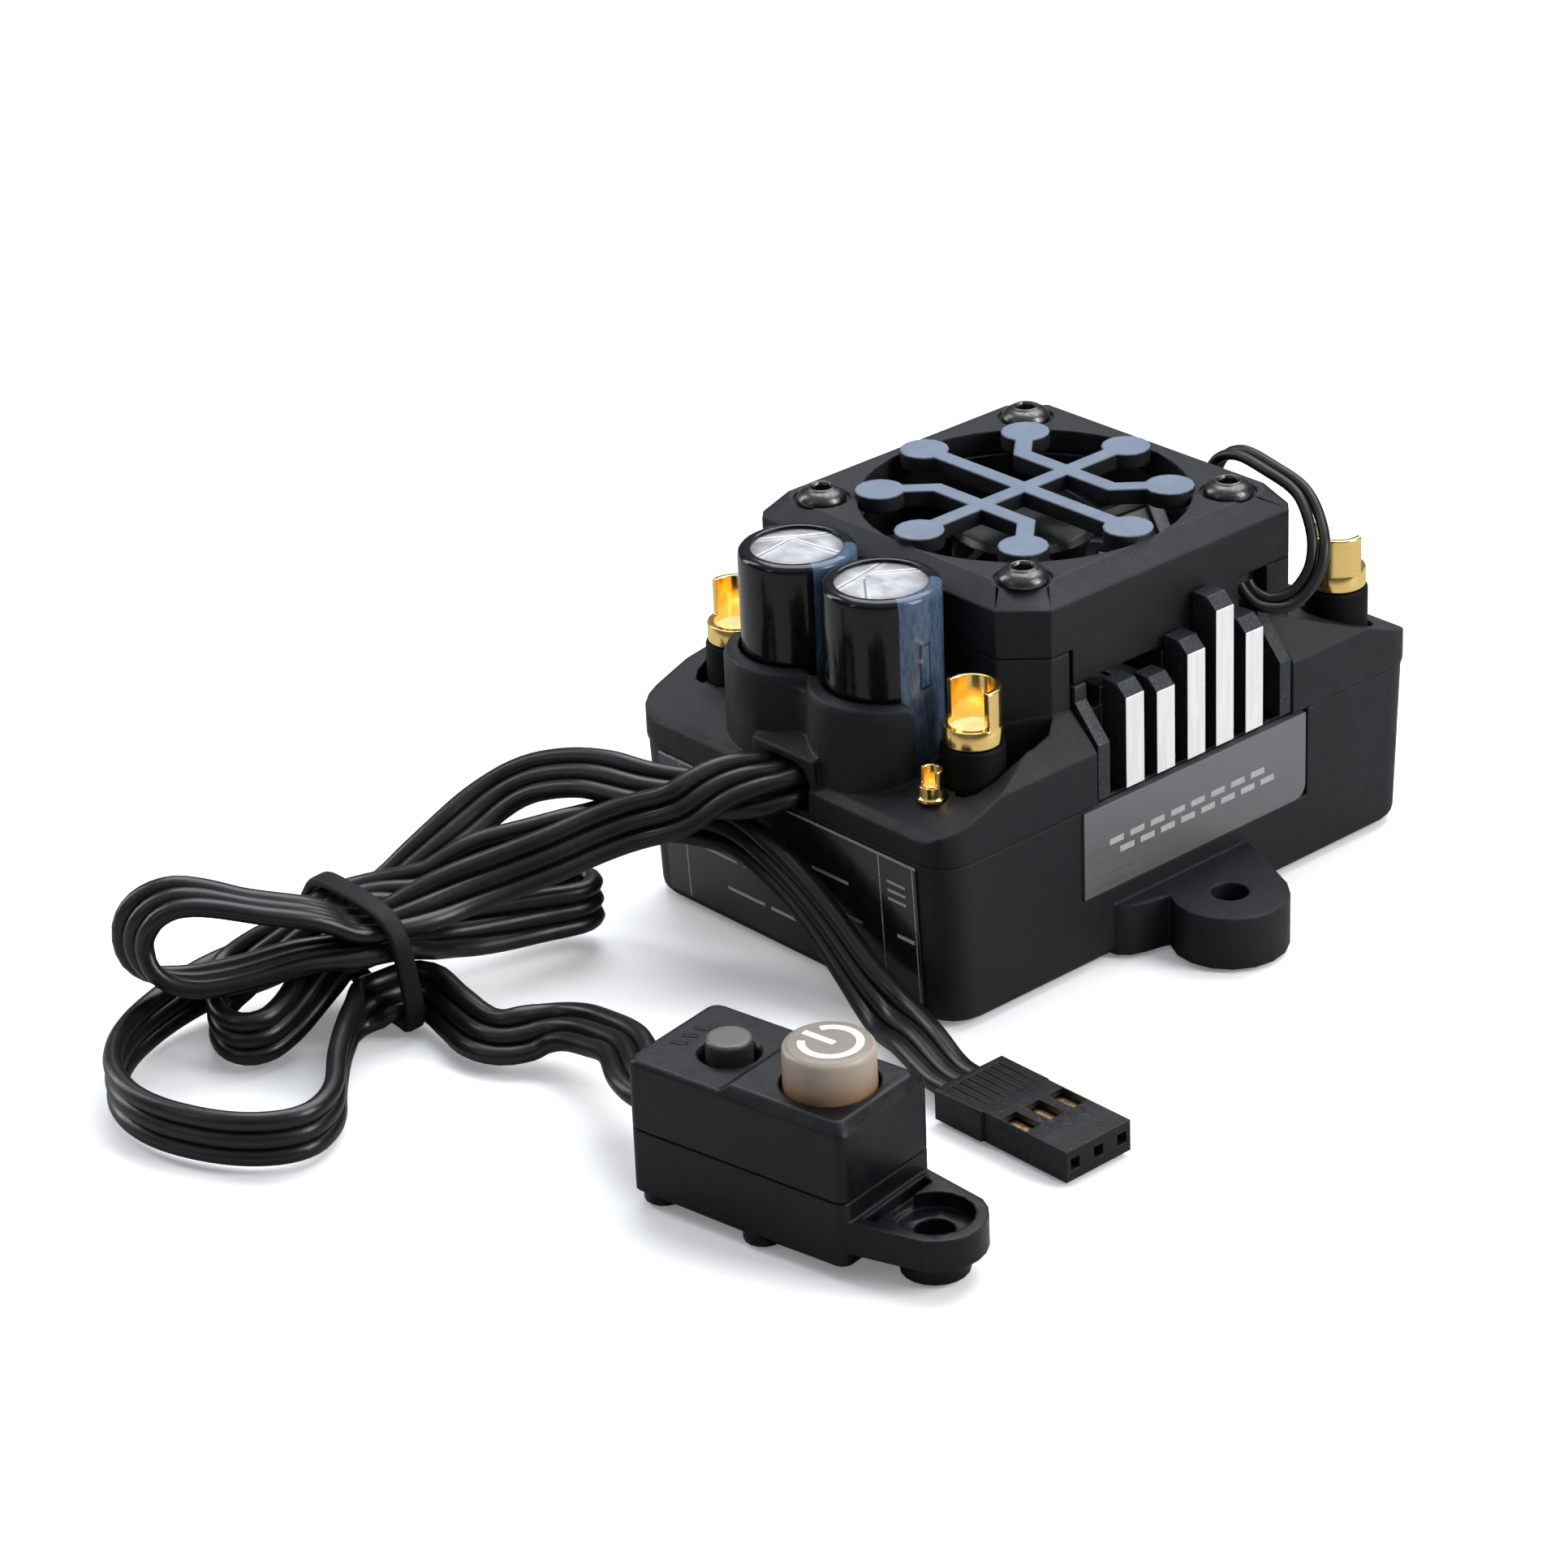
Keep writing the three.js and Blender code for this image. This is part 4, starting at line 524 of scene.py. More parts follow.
# ------------------------------------------------------------------ paths of the leads and band
# x, y, z of the middle core, then x, y, z of the direction in which the three cores lie
SWITCH_LEAD = [
    (0,-25.6,15.75,-1,0,0), (0.02,-27.4,15.75,-1,-0.06,0),
    (-0.21,-28.97,15.59,-0.84,0.53,0.07), (-1.45,-30.09,15.29,-0.61,0.78,0.17),
    (-2.91,-31.04,15.09,-0.51,0.84,0.2), (-4.47,-31.95,15.14,-0.45,0.84,0.31),
    (-6.01,-32.88,15.27,-0.51,0.78,0.35), (-7.42,-34.02,15.44,-0.57,0.71,0.41),
    (-8.83,-35.15,15.63,-0.44,0.76,0.47), (-10.43,-35.93,15.79,-0.26,0.82,0.51),
    (-12.1,-36.51,15.91,-0.25,0.79,0.56), (-13.78,-37.12,15.87,-0.35,0.77,0.54),
    (-15.42,-37.81,15.63,-0.44,0.71,0.55), (-16.99,-38.62,15.24,-0.53,0.65,0.55),
    (-18.45,-39.57,14.72,-0.66,0.55,0.52), (-19.64,-40.75,14.01,-0.82,0.36,0.44),
    (-20.45,-42.16,13.17,-0.91,0.16,0.38), (-20.86,-43.75,12.39,-0.93,-0.03,0.36),
    (-21.02,-45.41,11.66,-0.94,-0.06,0.33), (-21.23,-47.04,10.88,-0.96,0.01,0.28),
    (-21.51,-48.64,10.06,-0.97,0.07,0.22), (-21.83,-50.21,9.22,-0.98,0.14,0.15),
    (-22.2,-51.78,8.37,-0.98,0.22,0.04), (-22.59,-53.37,7.64,-0.97,0.25,-0.04),
    (-22.99,-54.98,6.99,-0.96,0.29,-0.04), (-23.54,-56.57,6.35,-0.94,0.34,0.06),
    (-24.15,-58.13,5.68,-0.93,0.26,0.24), (-24.78,-59.67,5,-0.88,0.19,0.43),
    (-25.47,-61.19,4.3,-0.73,0.03,0.69), (-26.12,-62.78,3.74,-0.49,-0.05,0.87),
    (-26.73,-64.45,3.39,-0.34,-0.04,0.94), (-27.24,-66.16,3.16,-0.2,-0.06,0.98),
    (-27.46,-67.94,3,-0.11,-0.08,0.99), (-27.38,-69.74,2.85,-0.07,-0.08,0.99),
    (-27.09,-71.53,2.74,-0.02,-0.06,1), (-26.65,-73.29,2.64,0.01,-0.05,1),
    (-26.06,-75.01,2.57,0.01,-0.03,1), (-25.32,-76.67,2.52,0.01,-0.02,1),
    (-24.39,-78.22,2.48,0.01,-0.01,1), (-23.25,-79.62,2.47,0,-0,1),
    (-21.93,-80.86,2.47,-0.01,0,1), (-20.48,-81.92,2.49,-0.01,0,1),
    (-18.87,-82.74,2.49,-0,0,1), (-17.16,-83.27,2.5,-0,0,1),
    (-15.38,-83.53,2.5,-0,0,1), (-13.59,-83.5,2.5,-0,-0,1),
    (-11.82,-83.19,2.5,-0,-0,1), (-10.11,-82.65,2.5,0,0,1),
    (-8.46,-81.95,2.5,0,0,1), (-6.88,-81.08,2.5,0,0,1),
    (-5.45,-80.01,2.5,0,0,1), (-4.25,-78.68,2.49,0,0,1),
    (-3.38,-77.13,2.49,0,0,1), (-3.18,-75.4,2.48,-0,0.01,1),
    (-3.74,-73.72,2.47,-0,0.01,1), (-4.69,-72.22,2.46,0,0.01,1),
    (-5.93,-70.95,2.45,0.01,0.02,1), (-7.32,-69.84,2.45,0.03,0.03,1),
    (-8.69,-68.73,2.45,0.04,0.04,1), (-9.99,-67.55,2.46,0.06,0.05,1),
    (-11.26,-66.35,2.48,0.08,0.07,0.99), (-12.48,-65.1,2.49,0.1,0.09,0.99),
    (-13.64,-63.8,2.49,0.1,0.1,0.99), (-14.75,-62.46,2.46,0.11,0.09,0.99),
    (-15.58,-60.97,2.5,-0.08,-0.11,0.99), (-15.53,-59.32,2.75,-0.82,0.07,0.57),
    (-15.32,-57.6,2.82,-0.85,0.08,0.52), (-15.03,-55.95,2.66,-0.56,0.39,0.74),
    (-13.78,-55.19,2.49,0.02,0.56,0.83), (-12.11,-55.36,2.39,0.14,0.49,0.86),
    (-10.43,-55.71,2.31,0.13,0.5,0.85), (-8.74,-56.02,2.26,0.13,0.57,0.81),
    (-7.03,-56.35,2.24,0.09,0.7,0.7), (-5.3,-56.34,2.26,-0.15,0.75,0.65),
    (-3.71,-55.7,2.35,-0.48,0.55,0.68), (-2.65,-54.36,2.56,-0.65,0.26,0.71),
    (-1.57,-53.04,2.91,-0.63,0.63,0.44), (-0.05,-52.28,3.38,-0.35,0.84,0.4),
    (1.65,-52.12,3.87,-0.08,0.9,0.42), (3.37,-52.32,4.33,0.03,0.92,0.4),
    (5.08,-52.59,4.77,0.05,0.93,0.36), (6.8,-52.89,5.21,0.13,0.94,0.31),
    (8.48,-53.38,5.56,0.3,0.91,0.28), (10.07,-54.16,5.81,0.46,0.85,0.25),
    (11.59,-55.11,5.98,0.52,0.83,0.18), (13.11,-56.06,6.12,0.49,0.87,0.09),
    (14.73,-56.81,6.2,0.32,0.95,0.02), (16.47,-57.18,6.2,0.05,1,-0),
    (18.25,-56.98,6.2,-0.18,0.98,0), (20.02,-56.69,6.2,-0.17,0.99,-0),
]
RECEIVER_LEAD = [
    (0,-25.6,17.5,-1,-0.04,0), (-0.05,-27.39,17.5,-0.98,0.21,0.01),
    (-0.67,-29.23,17.65,-0.87,0.43,0.26), (-1.6,-30.91,17.53,-0.81,0.39,0.43),
    (-2.47,-32.55,17.17,-0.8,0.23,0.56), (-3.18,-34.12,16.52,-0.75,-0.03,0.66),
    (-3.85,-35.56,15.7,-0.62,-0.08,0.78), (-4.97,-36.71,14.99,-0.48,0.11,0.87),
    (-6.39,-37.66,14.42,-0.45,0.12,0.89), (-7.63,-38.8,13.87,-0.47,0.04,0.88),
    (-8.62,-40.17,13.36,-0.47,-0.01,0.88), (-9.41,-41.66,12.88,-0.46,-0.06,0.88),
    (-10.04,-43.22,12.44,-0.46,-0.06,0.89), (-10.74,-44.77,12,-0.47,-0.02,0.88),
    (-11.58,-46.27,11.54,-0.47,0,0.88), (-12.39,-47.79,11.12,-0.46,0,0.89),
    (-13.1,-49.38,10.76,-0.5,0.03,0.86), (-13.73,-51.02,10.44,-0.57,0.05,0.82),
    (-14.23,-52.71,10.14,-0.69,0.05,0.72), (-14.66,-54.42,9.84,-0.83,0.14,0.54),
    (-15.26,-56.06,9.48,-0.9,0.3,0.32), (-15.97,-57.67,9.15,-0.92,0.39,0.09),
    (-16.63,-59.32,9.11,-0.94,0.34,0.01), (-17.1,-60.86,9.76,-0.96,0.28,0.05),
    (-17.51,-62.28,10.75,-0.94,0.34,0.01), (-18.18,-63.75,11.47,-0.89,0.46,-0.04),
    (-19.05,-65.24,11.96,-0.86,0.51,-0.05), (-19.98,-66.71,12.41,-0.85,0.53,-0.05),
    (-20.93,-68.15,12.93,-0.84,0.55,-0.05), (-21.91,-69.54,13.49,-0.81,0.59,-0),
    (-22.96,-70.94,13.9,-0.78,0.62,0.08), (-24.05,-72.34,13.98,-0.8,0.56,0.23),
    (-24.99,-73.72,13.43,-0.88,0.36,0.32), (-25.78,-74.7,12.23,-0.91,0.15,0.38),
    (-26.29,-75.09,10.61,-1,-0.02,0.09), (-25.97,-75.08,8.92,-0.91,0.03,-0.41),
    (-25.06,-74.46,7.58,-0.81,0.36,-0.46), (-24.01,-73.24,6.84,-0.81,0.55,-0.22),
    (-22.97,-71.81,6.54,-0.83,0.55,-0.07), (-22,-70.29,6.56,-0.85,0.53,-0),
    (-21.05,-68.76,6.73,-0.86,0.51,0.02), (-20.14,-67.22,7.01,-0.87,0.5,0.03),
    (-19.25,-65.67,7.34,-0.86,0.5,0.03), (-18.36,-64.1,7.54,-0.89,0.46,0),
    (-17.56,-62.47,7.48,-0.9,0.44,-0.01), (-16.78,-60.82,7.34,-0.91,0.41,-0),
    (-16.06,-59.13,7.3,-0.94,0.35,0), (-15.61,-57.37,7.21,-0.99,0.11,0.06),
    (-15.68,-55.59,6.79,-0.95,-0.05,0.3), (-16,-53.86,6.25,-0.87,-0.01,0.49),
    (-16.25,-52.14,5.72,-0.83,0.09,0.55), (-16.22,-50.4,5.31,-0.75,0.2,0.62),
    (-15.95,-48.67,5.02,-0.59,0.22,0.77), (-15.64,-46.93,4.78,-0.47,0.2,0.86),
    (-15.31,-45.19,4.56,-0.33,0.17,0.93), (-14.95,-43.46,4.38,-0.17,0.13,0.98),
    (-14.52,-41.73,4.21,-0.06,0.1,0.99), (-14.01,-40.03,4.08,-0.01,0.07,1),
    (-13.78,-38.29,3.97,-0.01,0.06,1), (-14.55,-36.85,3.88,-0.04,0.03,1),
    (-16.1,-36.55,3.79,-0.05,-0.02,1), (-17.35,-37.7,3.72,-0.02,-0.02,1),
    (-18.11,-39.33,3.68,-0.07,0.01,1), (-18.57,-41.09,3.67,-0.19,0.04,0.98),
    (-18.9,-42.89,3.69,-0.29,0.07,0.95), (-19.18,-44.69,3.75,-0.38,0.09,0.92),
    (-19.37,-46.52,3.85,-0.52,0.1,0.85), (-19.42,-48.34,4.03,-0.61,0.09,0.79),
    (-19.28,-50.15,4.33,-0.71,0.05,0.7), (-19.02,-51.93,4.7,-0.88,-0.03,0.48),
    (-18.8,-53.73,5.05,-0.98,-0.05,0.17), (-18.74,-55.56,5.35,-1,0.02,0.01),
    (-18.87,-57.41,5.5,-0.99,0.13,-0.01), (-19.26,-59.23,5.52,-0.95,0.24,0.18),
    (-19.56,-60.95,5.17,-0.87,-0.17,0.46), (-19.26,-62.57,4.51,-0.5,-0.47,0.73),
    (-18.68,-64.15,3.85,-0.23,-0.42,0.88), (-18.06,-65.78,3.35,-0.13,-0.28,0.95),
    (-17.52,-67.45,3.01,-0.07,-0.18,0.98), (-17.26,-69.18,2.8,-0.05,-0.08,1),
    (-17.87,-70.63,2.71,-0.03,-0.02,1), (-19.39,-71.24,2.69,0.01,0,1),
    (-21.08,-71.01,2.73,0.05,-0.01,1), (-22.65,-70.25,2.89,0.1,-0.07,0.99),
    (-23.97,-69.1,3.18,0.11,-0.21,0.97), (-24.78,-67.67,3.77,-0.22,-0.49,0.84),
    (-24.75,-66.14,4.7,-0.81,-0.2,0.55), (-24.28,-64.71,5.67,-0.9,0.14,0.41),
    (-23.52,-63.41,6.62,-0.9,0.36,0.25), (-22.82,-62.01,7.5,-0.94,0.34,0.03),
    (-22.4,-60.41,8.21,-0.98,0.21,-0.05), (-22.07,-58.74,8.77,-0.97,0.25,-0.03),
    (-21.52,-57.07,9.11,-0.93,0.38,0), (-20.69,-55.5,9.3,-0.82,0.56,0.05),
    (-19.52,-54.15,9.44,-0.7,0.67,0.22), (-18.27,-52.83,9.49,-0.69,0.56,0.45),
    (-17.35,-51.33,9.63,-0.81,0.22,0.54), (-16.98,-49.67,10,-0.72,-0.08,0.69),
    (-16.71,-48,10.45,-0.53,-0.07,0.84), (-16.05,-46.41,10.81,-0.44,0.06,0.89),
    (-15.1,-44.95,11.1,-0.41,0.11,0.9), (-14.16,-43.47,11.36,-0.42,0.09,0.9),
    (-13.3,-41.94,11.62,-0.42,0.08,0.9), (-12.51,-40.36,11.81,-0.38,0.1,0.92),
    (-11.87,-38.68,11.87,-0.39,0.11,0.91), (-11.36,-36.95,11.96,-0.39,0.04,0.92),
    (-10.79,-35.26,12.06,-0.38,0.12,0.92), (-10.12,-33.61,12.01,-0.33,0.24,0.91),
    (-9.09,-32.21,11.84,-0.16,0.32,0.93), (-7.68,-31.17,11.61,0.01,0.23,0.97),
    (-6.07,-30.44,11.43,0.05,0.1,0.99), (-4.34,-30.04,11.26,0.14,0.02,0.99),
    (-2.59,-29.93,10.91,0.24,0,0.97), (-0.88,-29.97,10.41,0.31,-0,0.95),
    (0.81,-29.99,9.81,0.37,0,0.93), (2.45,-29.99,9.1,0.42,0,0.91),
    (4.04,-30,8.29,0.48,0.01,0.88), (5.57,-30.04,7.38,0.53,0.05,0.85),
    (7.07,-30.09,6.42,0.55,0.09,0.83), (8.53,-30.18,5.42,0.58,0.13,0.81),
    (9.99,-30.3,4.41,0.55,0.17,0.82), (11.49,-30.46,3.5,0.5,0.25,0.83),
    (13.05,-30.64,2.67,0.44,0.42,0.8), (14.68,-30.91,2.06,0.3,0.6,0.74),
    (16.39,-31.35,1.88,0.22,0.76,0.61), (18.09,-31.9,2.02,0.26,0.89,0.38),
    (19.79,-32.45,2.08,0.3,0.93,0.21), (21.51,-32.96,1.88,0.29,0.95,0.11),
    (23.23,-33.45,1.59,0.27,0.96,0.02), (24.97,-33.88,1.4,0.21,0.98,-0),
    (26.75,-34.09,1.4,0.03,1,0), (27.35,-34.1,1.4,0.01,1,0),
]
# x, y, z round the closed band, and the direction of its width
BAND = [
    (-26.38,-57,4.77), (-25.36,-57.03,4.21), (-24.25,-57.07,3.76), (-23.14,-57.12,3.31),
    (-22.04,-57.16,2.87), (-20.93,-57.21,2.42), (-19.82,-57.25,1.97), (-18.71,-57.3,1.53),
    (-17.6,-57.34,1.08), (-16.5,-57.39,0.63), (-15.38,-57.43,0.52), (-14.27,-57.51,0.52),
    (-13.28,-57.63,0.52), (-12.64,-57.79,1.25), (-12.38,-57.95,2.37), (-12.36,-58.08,3.55),
    (-12.41,-58.22,4.74), (-12.45,-58.35,5.92), (-12.52,-58.48,7.11), (-12.64,-58.61,8.29),
    (-12.96,-58.71,9.38), (-13.69,-58.74,10.21), (-14.73,-58.7,10.66), (-15.9,-58.62,10.82),
    (-17.09,-58.52,10.88), (-18.28,-58.42,10.91), (-19.47,-58.31,10.85), (-20.66,-58.2,10.76),
    (-21.84,-58.08,10.67), (-23.02,-57.96,10.53), (-24.1,-57.83,10.17), (-25.01,-57.67,9.48),
    (-25.77,-57.5,8.59), (-26.5,-57.33,7.65), (-27.03,-57.17,6.65), (-27.03,-57.04,5.61),
]
BAND_AXIS = (0.0863, 0.9896, 0.1148)


# ------------------------------------------------------------------ mesh helpers
# a shape is a pair (vertices, faces)
def clean_mesh(name, shape):
    """A mesh with merged vertices and normals facing out."""
    verts, faces = shape
    mesh = bpy.data.meshes.new(name)
    mesh.from_pydata([(float(x) * MM, float(y) * MM, float(z) * MM) for x, y, z in verts],
                     [], faces)
    bm = bmesh.new()
    bm.from_mesh(mesh)
    bmesh.ops.remove_doubles(bm, verts=bm.verts, dist=1e-7)
    bmesh.ops.recalc_face_normals(bm, faces=bm.faces)
    bm.to_mesh(mesh)
    bm.free()
    return mesh


def add_piece(name, mesh, material, slot, replaced=None, body=ROOT, sharp=38.0):
    """Places a mesh on a body, smooth but for edges above the sharp angle in degrees."""
    mesh.polygons.foreach_set("use_smooth", [True] * len(mesh.polygons))
    mesh.set_sharp_from_angle(angle=radians(sharp))
    mesh.materials.clear()
    mesh.materials.append(materials[material])
    ob = bpy.data.objects.new(name, mesh)
    scene.collection.objects.link(ob)
    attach(ob, body)
    if replaced:
        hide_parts(replaced)
    return ob


def add_shape(name, shape, *args, **options):
    return add_piece(name, clean_mesh(name, shape), *args, **options)


def joined(shapes):
    verts, faces = [], []
    for more_verts, more_faces in shapes:
        base = len(verts)
        verts += more_verts
        faces += [[base + i for i in face] for face in more_faces]
    return verts, faces


def spin(profile, segments, centre=(0.0, 0.0), radius=None):
    """Revolves (r, z) points about a vertical axis.

    A profile that starts off the axis closes on itself. radius(angle, r, z) may reshape it.
    """
    verts, faces, rows = [], [], []
    for r, z in profile:
        if r < 1e-6:
            rows.append([len(verts)] * segments)
            verts.append((*centre, z))
            continue
        rows.append(list(range(len(verts), len(verts) + segments)))
        for i in range(segments):
            angle = 2 * pi * i / segments
            reach = radius(angle, r, z) if radius else r
            verts.append((centre[0] + reach * cos(angle), centre[1] + reach * sin(angle), z))
    pairs = list(zip(rows, rows[1:]))
    if profile[0][0] > 1e-6:
        pairs.append((rows[-1], rows[0]))
    for low, high in pairs:
        for i in range(segments):
            j = (i + 1) % segments
            face = list(dict.fromkeys((low[i], low[j], high[j], high[i])))
            if len(face) > 2:
                faces.append(face)
    return verts, faces


def rounded(profile, radii, segments):
    """Rounds the inner corners of an open profile, with one radius for each."""
    points = [profile[0]]
    for i, radius in enumerate(radii, 1):
        corner, before, after = (np.array(profile[k], float) for k in (i, i - 1, i + 1))
        back, on = before - corner, after - corner
        back_length, on_length = np.linalg.norm(back), np.linalg.norm(on)
        reach = min(radius, back_length * 0.48, on_length * 0.48)
        start, end = corner + back / back_length * reach, corner + on / on_length * reach
        for t in np.linspace(0, 1, segments + 1):
            points.append(tuple((1 - t) ** 2 * start + 2 * t * (1 - t) * corner + t * t * end))
    points.append(profile[-1])
    return points


def smooth_path(points, step, closed=False):
    """Centripetal curve through the points, resampled at about step.

    Columns after x, y and z are carried along.
    """
    points = np.array(points, float)
    if closed:
        padded = np.vstack([points[-1:], points, points[:2]])
    else:
        padded = np.vstack([2 * points[0] - points[1], points, 2 * points[-1] - points[-2]])
    curve = []
    for i in range(1, len(padded) - 2):
        p0, p1, p2, p3 = padded[i - 1:i + 3]
        knots = [max(1e-6, np.linalg.norm((b - a)[:3]) ** 0.5)
                 for a, b in ((p0, p1), (p1, p2), (p2, p3))]
        t0, t1 = 0.0, knots[0]
        t2 = t1 + knots[1]
        t3 = t2 + knots[2]
        count = max(2, int(round(np.linalg.norm((p2 - p1)[:3]) / (step / 4))))
        for t in np.linspace(t1, t2, count, endpoint=False):
            a1 = (t1 - t) / (t1 - t0) * p0 + (t - t0) / (t1 - t0) * p1
            a2 = (t2 - t) / (t2 - t1) * p1 + (t - t1) / (t2 - t1) * p2
            a3 = (t3 - t) / (t3 - t2) * p2 + (t - t2) / (t3 - t2) * p3
            b1 = (t2 - t) / (t2 - t0) * a1 + (t - t0) / (t2 - t0) * a2
            b2 = (t3 - t) / (t3 - t1) * a2 + (t - t1) / (t3 - t1) * a3
            curve.append((t2 - t) / (t2 - t1) * b1 + (t - t1) / (t2 - t1) * b2)
    curve.append(curve[0] if closed else padded[-2])
    curve = np.array(curve)
    gaps = np.linalg.norm(np.diff(curve[:, :3], axis=0), axis=1)
    along = np.concatenate([[0], np.cumsum(gaps)])
    count = max(3, int(round(along[-1] / step)))
    stops = np.linspace(0, along[-1], count + (0 if closed else 1), endpoint=not closed)
    return np.stack([np.interp(stops, along, column) for column in curve.T], 1)


def sweep(centres, across, section, closed=False):
    """Sweeps a section (x across, y through) along the centres."""
    centres = np.asarray(centres, float)
    n, m = len(centres), len(section)
    verts, faces = [], []
    for i in range(n):
        if closed:
            before, after = centres[(i - 1) % n], centres[(i + 1) % n]
        else:
            before, after = centres[max(i - 1, 0)], centres[min(i + 1, n - 1)]
        along = after - before
        along /= np.linalg.norm(along)
        wide = np.array(across[i], float)
        wide -= along * wide.dot(along)
        wide /= np.linalg.norm(wide)
        through = np.cross(along, wide)
        verts += [centres[i] + wide * x + through * y for x, y in section]
    for i in range(n if closed else n - 1):
        here, there = i * m, (i + 1) % n * m
        for j in range(m):
            k = (j + 1) % m
            faces.append([here + j, here + k, there + k, there + j])
    if not closed:
        faces.append(list(range(m))[::-1])
        faces.append([(n - 1) * m + j for j in range(m)])
    return verts, faces


def untwisted(centres):
    """A direction that starts upright and is carried along a path without twisting."""
    tangents = np.gradient(centres, axis=0)
    tangents /= np.linalg.norm(tangents, axis=1)[:, None]
    across = np.array((0, 0, 1), float)
    directions = []
    for tangent in tangents:
        across = across - tangent * across.dot(tangent)
        across /= np.linalg.norm(across)
        directions.append(across.copy())
    return directions


def box_mesh(boxes, bevel=0):
    """Boxes ((x0, x1), (y0, y1), (z0, z1)) in one mesh, with edges cut by the bevel."""
    bm = bmesh.new()
    for box in boxes:
        for vert in bmesh.ops.create_cube(bm, size=1.0)["verts"]:
            vert.co = Vector([(a + b) / 2 + c * (b - a) for (a, b), c in zip(box, vert.co)]) * MM
    if bevel:
        bmesh.ops.bevel(bm, geom=bm.edges[:], offset=bevel * MM, segments=1, profile=0.5,
                        affect="EDGES", clamp_overlap=True)
    mesh = bpy.data.meshes.new("boxes")
    bm.to_mesh(mesh)
    bm.free()
    return mesh


def cut(body, cutter):
    """The body mesh minus the cutter mesh."""
    pair = [bpy.data.objects.new("cut_a", body), bpy.data.objects.new("cut_b", cutter)]
    for ob in pair:
        scene.collection.objects.link(ob)
    boolean = pair[0].modifiers.new("cut", "BOOLEAN")
    boolean.operation, boolean.object, boolean.solver = "DIFFERENCE", pair[1], "EXACT"
    bpy.context.view_layer.update()
    evaluated = pair[0].evaluated_get(bpy.context.evaluated_depsgraph_get())
    mesh = bpy.data.meshes.new_from_object(evaluated)
    for ob in pair:
        bpy.data.objects.remove(ob)
    return mesh


def shade_by_angle(degrees):
    """Geometry nodes that shade faces smooth and edges above the angle sharp."""
    tree = bpy.data.node_groups.new("smooth_by_angle", "GeometryNodeTree")
    for way in ("INPUT", "OUTPUT"):
        tree.interface.new_socket("Geometry", in_out=way, socket_type="NodeSocketGeometry")
    source = add_node(tree, "NodeGroupInput")
    smooth = add_node(tree, "GeometryNodeSetShadeSmooth", {"Geometry": source.outputs[0]},
                      domain="FACE")
    angle = add_node(tree, "GeometryNodeInputMeshEdgeAngle")
    steep = add_node(tree, "FunctionNodeCompare", {0: angle.outputs[0], 1: radians(degrees)},
                     data_type="FLOAT", operation="GREATER_THAN")
    sharpen = add_node(tree, "GeometryNodeSetShadeSmooth", {
        "Geometry": smooth.outputs[0], "Selection": steep.outputs[0], "Shade Smooth": False},
        domain="EDGE")
    add_node(tree, "NodeGroupOutput", {0: sharpen.outputs[0]})
    return tree


SHADE_GROUP = shade_by_angle(42)


def soften(ob, width, segments=2, angle=28.0):
    """Rounds a piece's edges with modifiers, leaving its own mesh alone."""
    ob.modifiers.new("weld", "WELD").merge_threshold = 2e-6
    bevel = ob.modifiers.new("edges", "BEVEL")
    bevel.width, bevel.segments = width * MM, segments
    bevel.limit_method, bevel.angle_limit = "ANGLE", radians(angle)
    bevel.use_clamp_overlap = False
    bevel.miter_outer = "MITER_ARC"
    ob.modifiers.new("shade", "NODES").node_group = SHADE_GROUP
    ob.modifiers.new("normals", "WEIGHTED_NORMAL").keep_sharp = True


# ------------------------------------------------------------------ CAD pieces kept as they are
# material, bevel width, bevel segments, pieces
KEPT = [
    ("case", 0.06, 2, "lower_case upper_case"),
    ("cover", 0.06, 2, "fan_cover"),
    ("fan", 0.06, 2, "fan_frame"),
    ("fan", 0.05, 2, "fan_rotor"),
    ("fin", 0.055, 2, "heat_sink"),
    ("label", 0.04, 2, "front_label"),
    ("badge", 0.05, 2, "side_badge"),
    ("switch", 0.07, 2, "switch_lower_case"),
    ("switch", 0.11, 3, "switch_upper_case"),
    ("plug", 0.045, 2, "plug_housing"),
    ("contact", 0.12, 2, "plug_contact_1 plug_contact_2 plug_contact_3"),
    ("socket", 0.12, 2, "sensor_port"),
    ("board", 0.08, 2, "power_board switch_board"),
    ("board", 0.035, 2, "control_board"),
    ("pad", 0.1, 2, "thermal_pad"),
    ("steel", 0.15, 2, "set_tact_switch power_tact_switch"),
    ("bronze", 0.05, 2, "fan_bearing"),
    ("winding", 0.1, 2, "fan_stator"),
    ("shaft", 0.05, 2, "fan_shaft"),
    ("package", 0.12, 2, "mosfet_1 mosfet_2 mosfet_3 mosfet_4 mosfet_5 mosfet_6"),
    ("steel", 0.08, 2, "case_screw_1 case_screw_2 case_screw_3 case_screw_4"),
]
for material, width, segments, names in KEPT:
    for name in names.split():
        ob = nodes[name]
        ob.data.materials.clear()
        ob.data.materials.append(materials[material])
        soften(ob, width, segments)

# ------------------------------------------------------------------ capacitors
CAN_RADIUS, CAN_BOTTOM, CAN_SEGMENTS = 4.55, 14.3, 144
VENT_RADIUS = 3.85
# ends of the scored grooves, from the middle of the can
GROOVES = {
    "left": [((-0.9, -3.9), (-1.7, 0.85)), ((-3.6, -1.1), (-0.2, 3.75)),
             ((-1.5, 0.95), (3.2, 1.6))],
    "right": [((-1.55, -3.7), (-2.9, 3.55)), ((-1.9, 0.75), (0.4, 3.75)),
              ((-1.55, -0.45), (1.9, -3.4))],
}


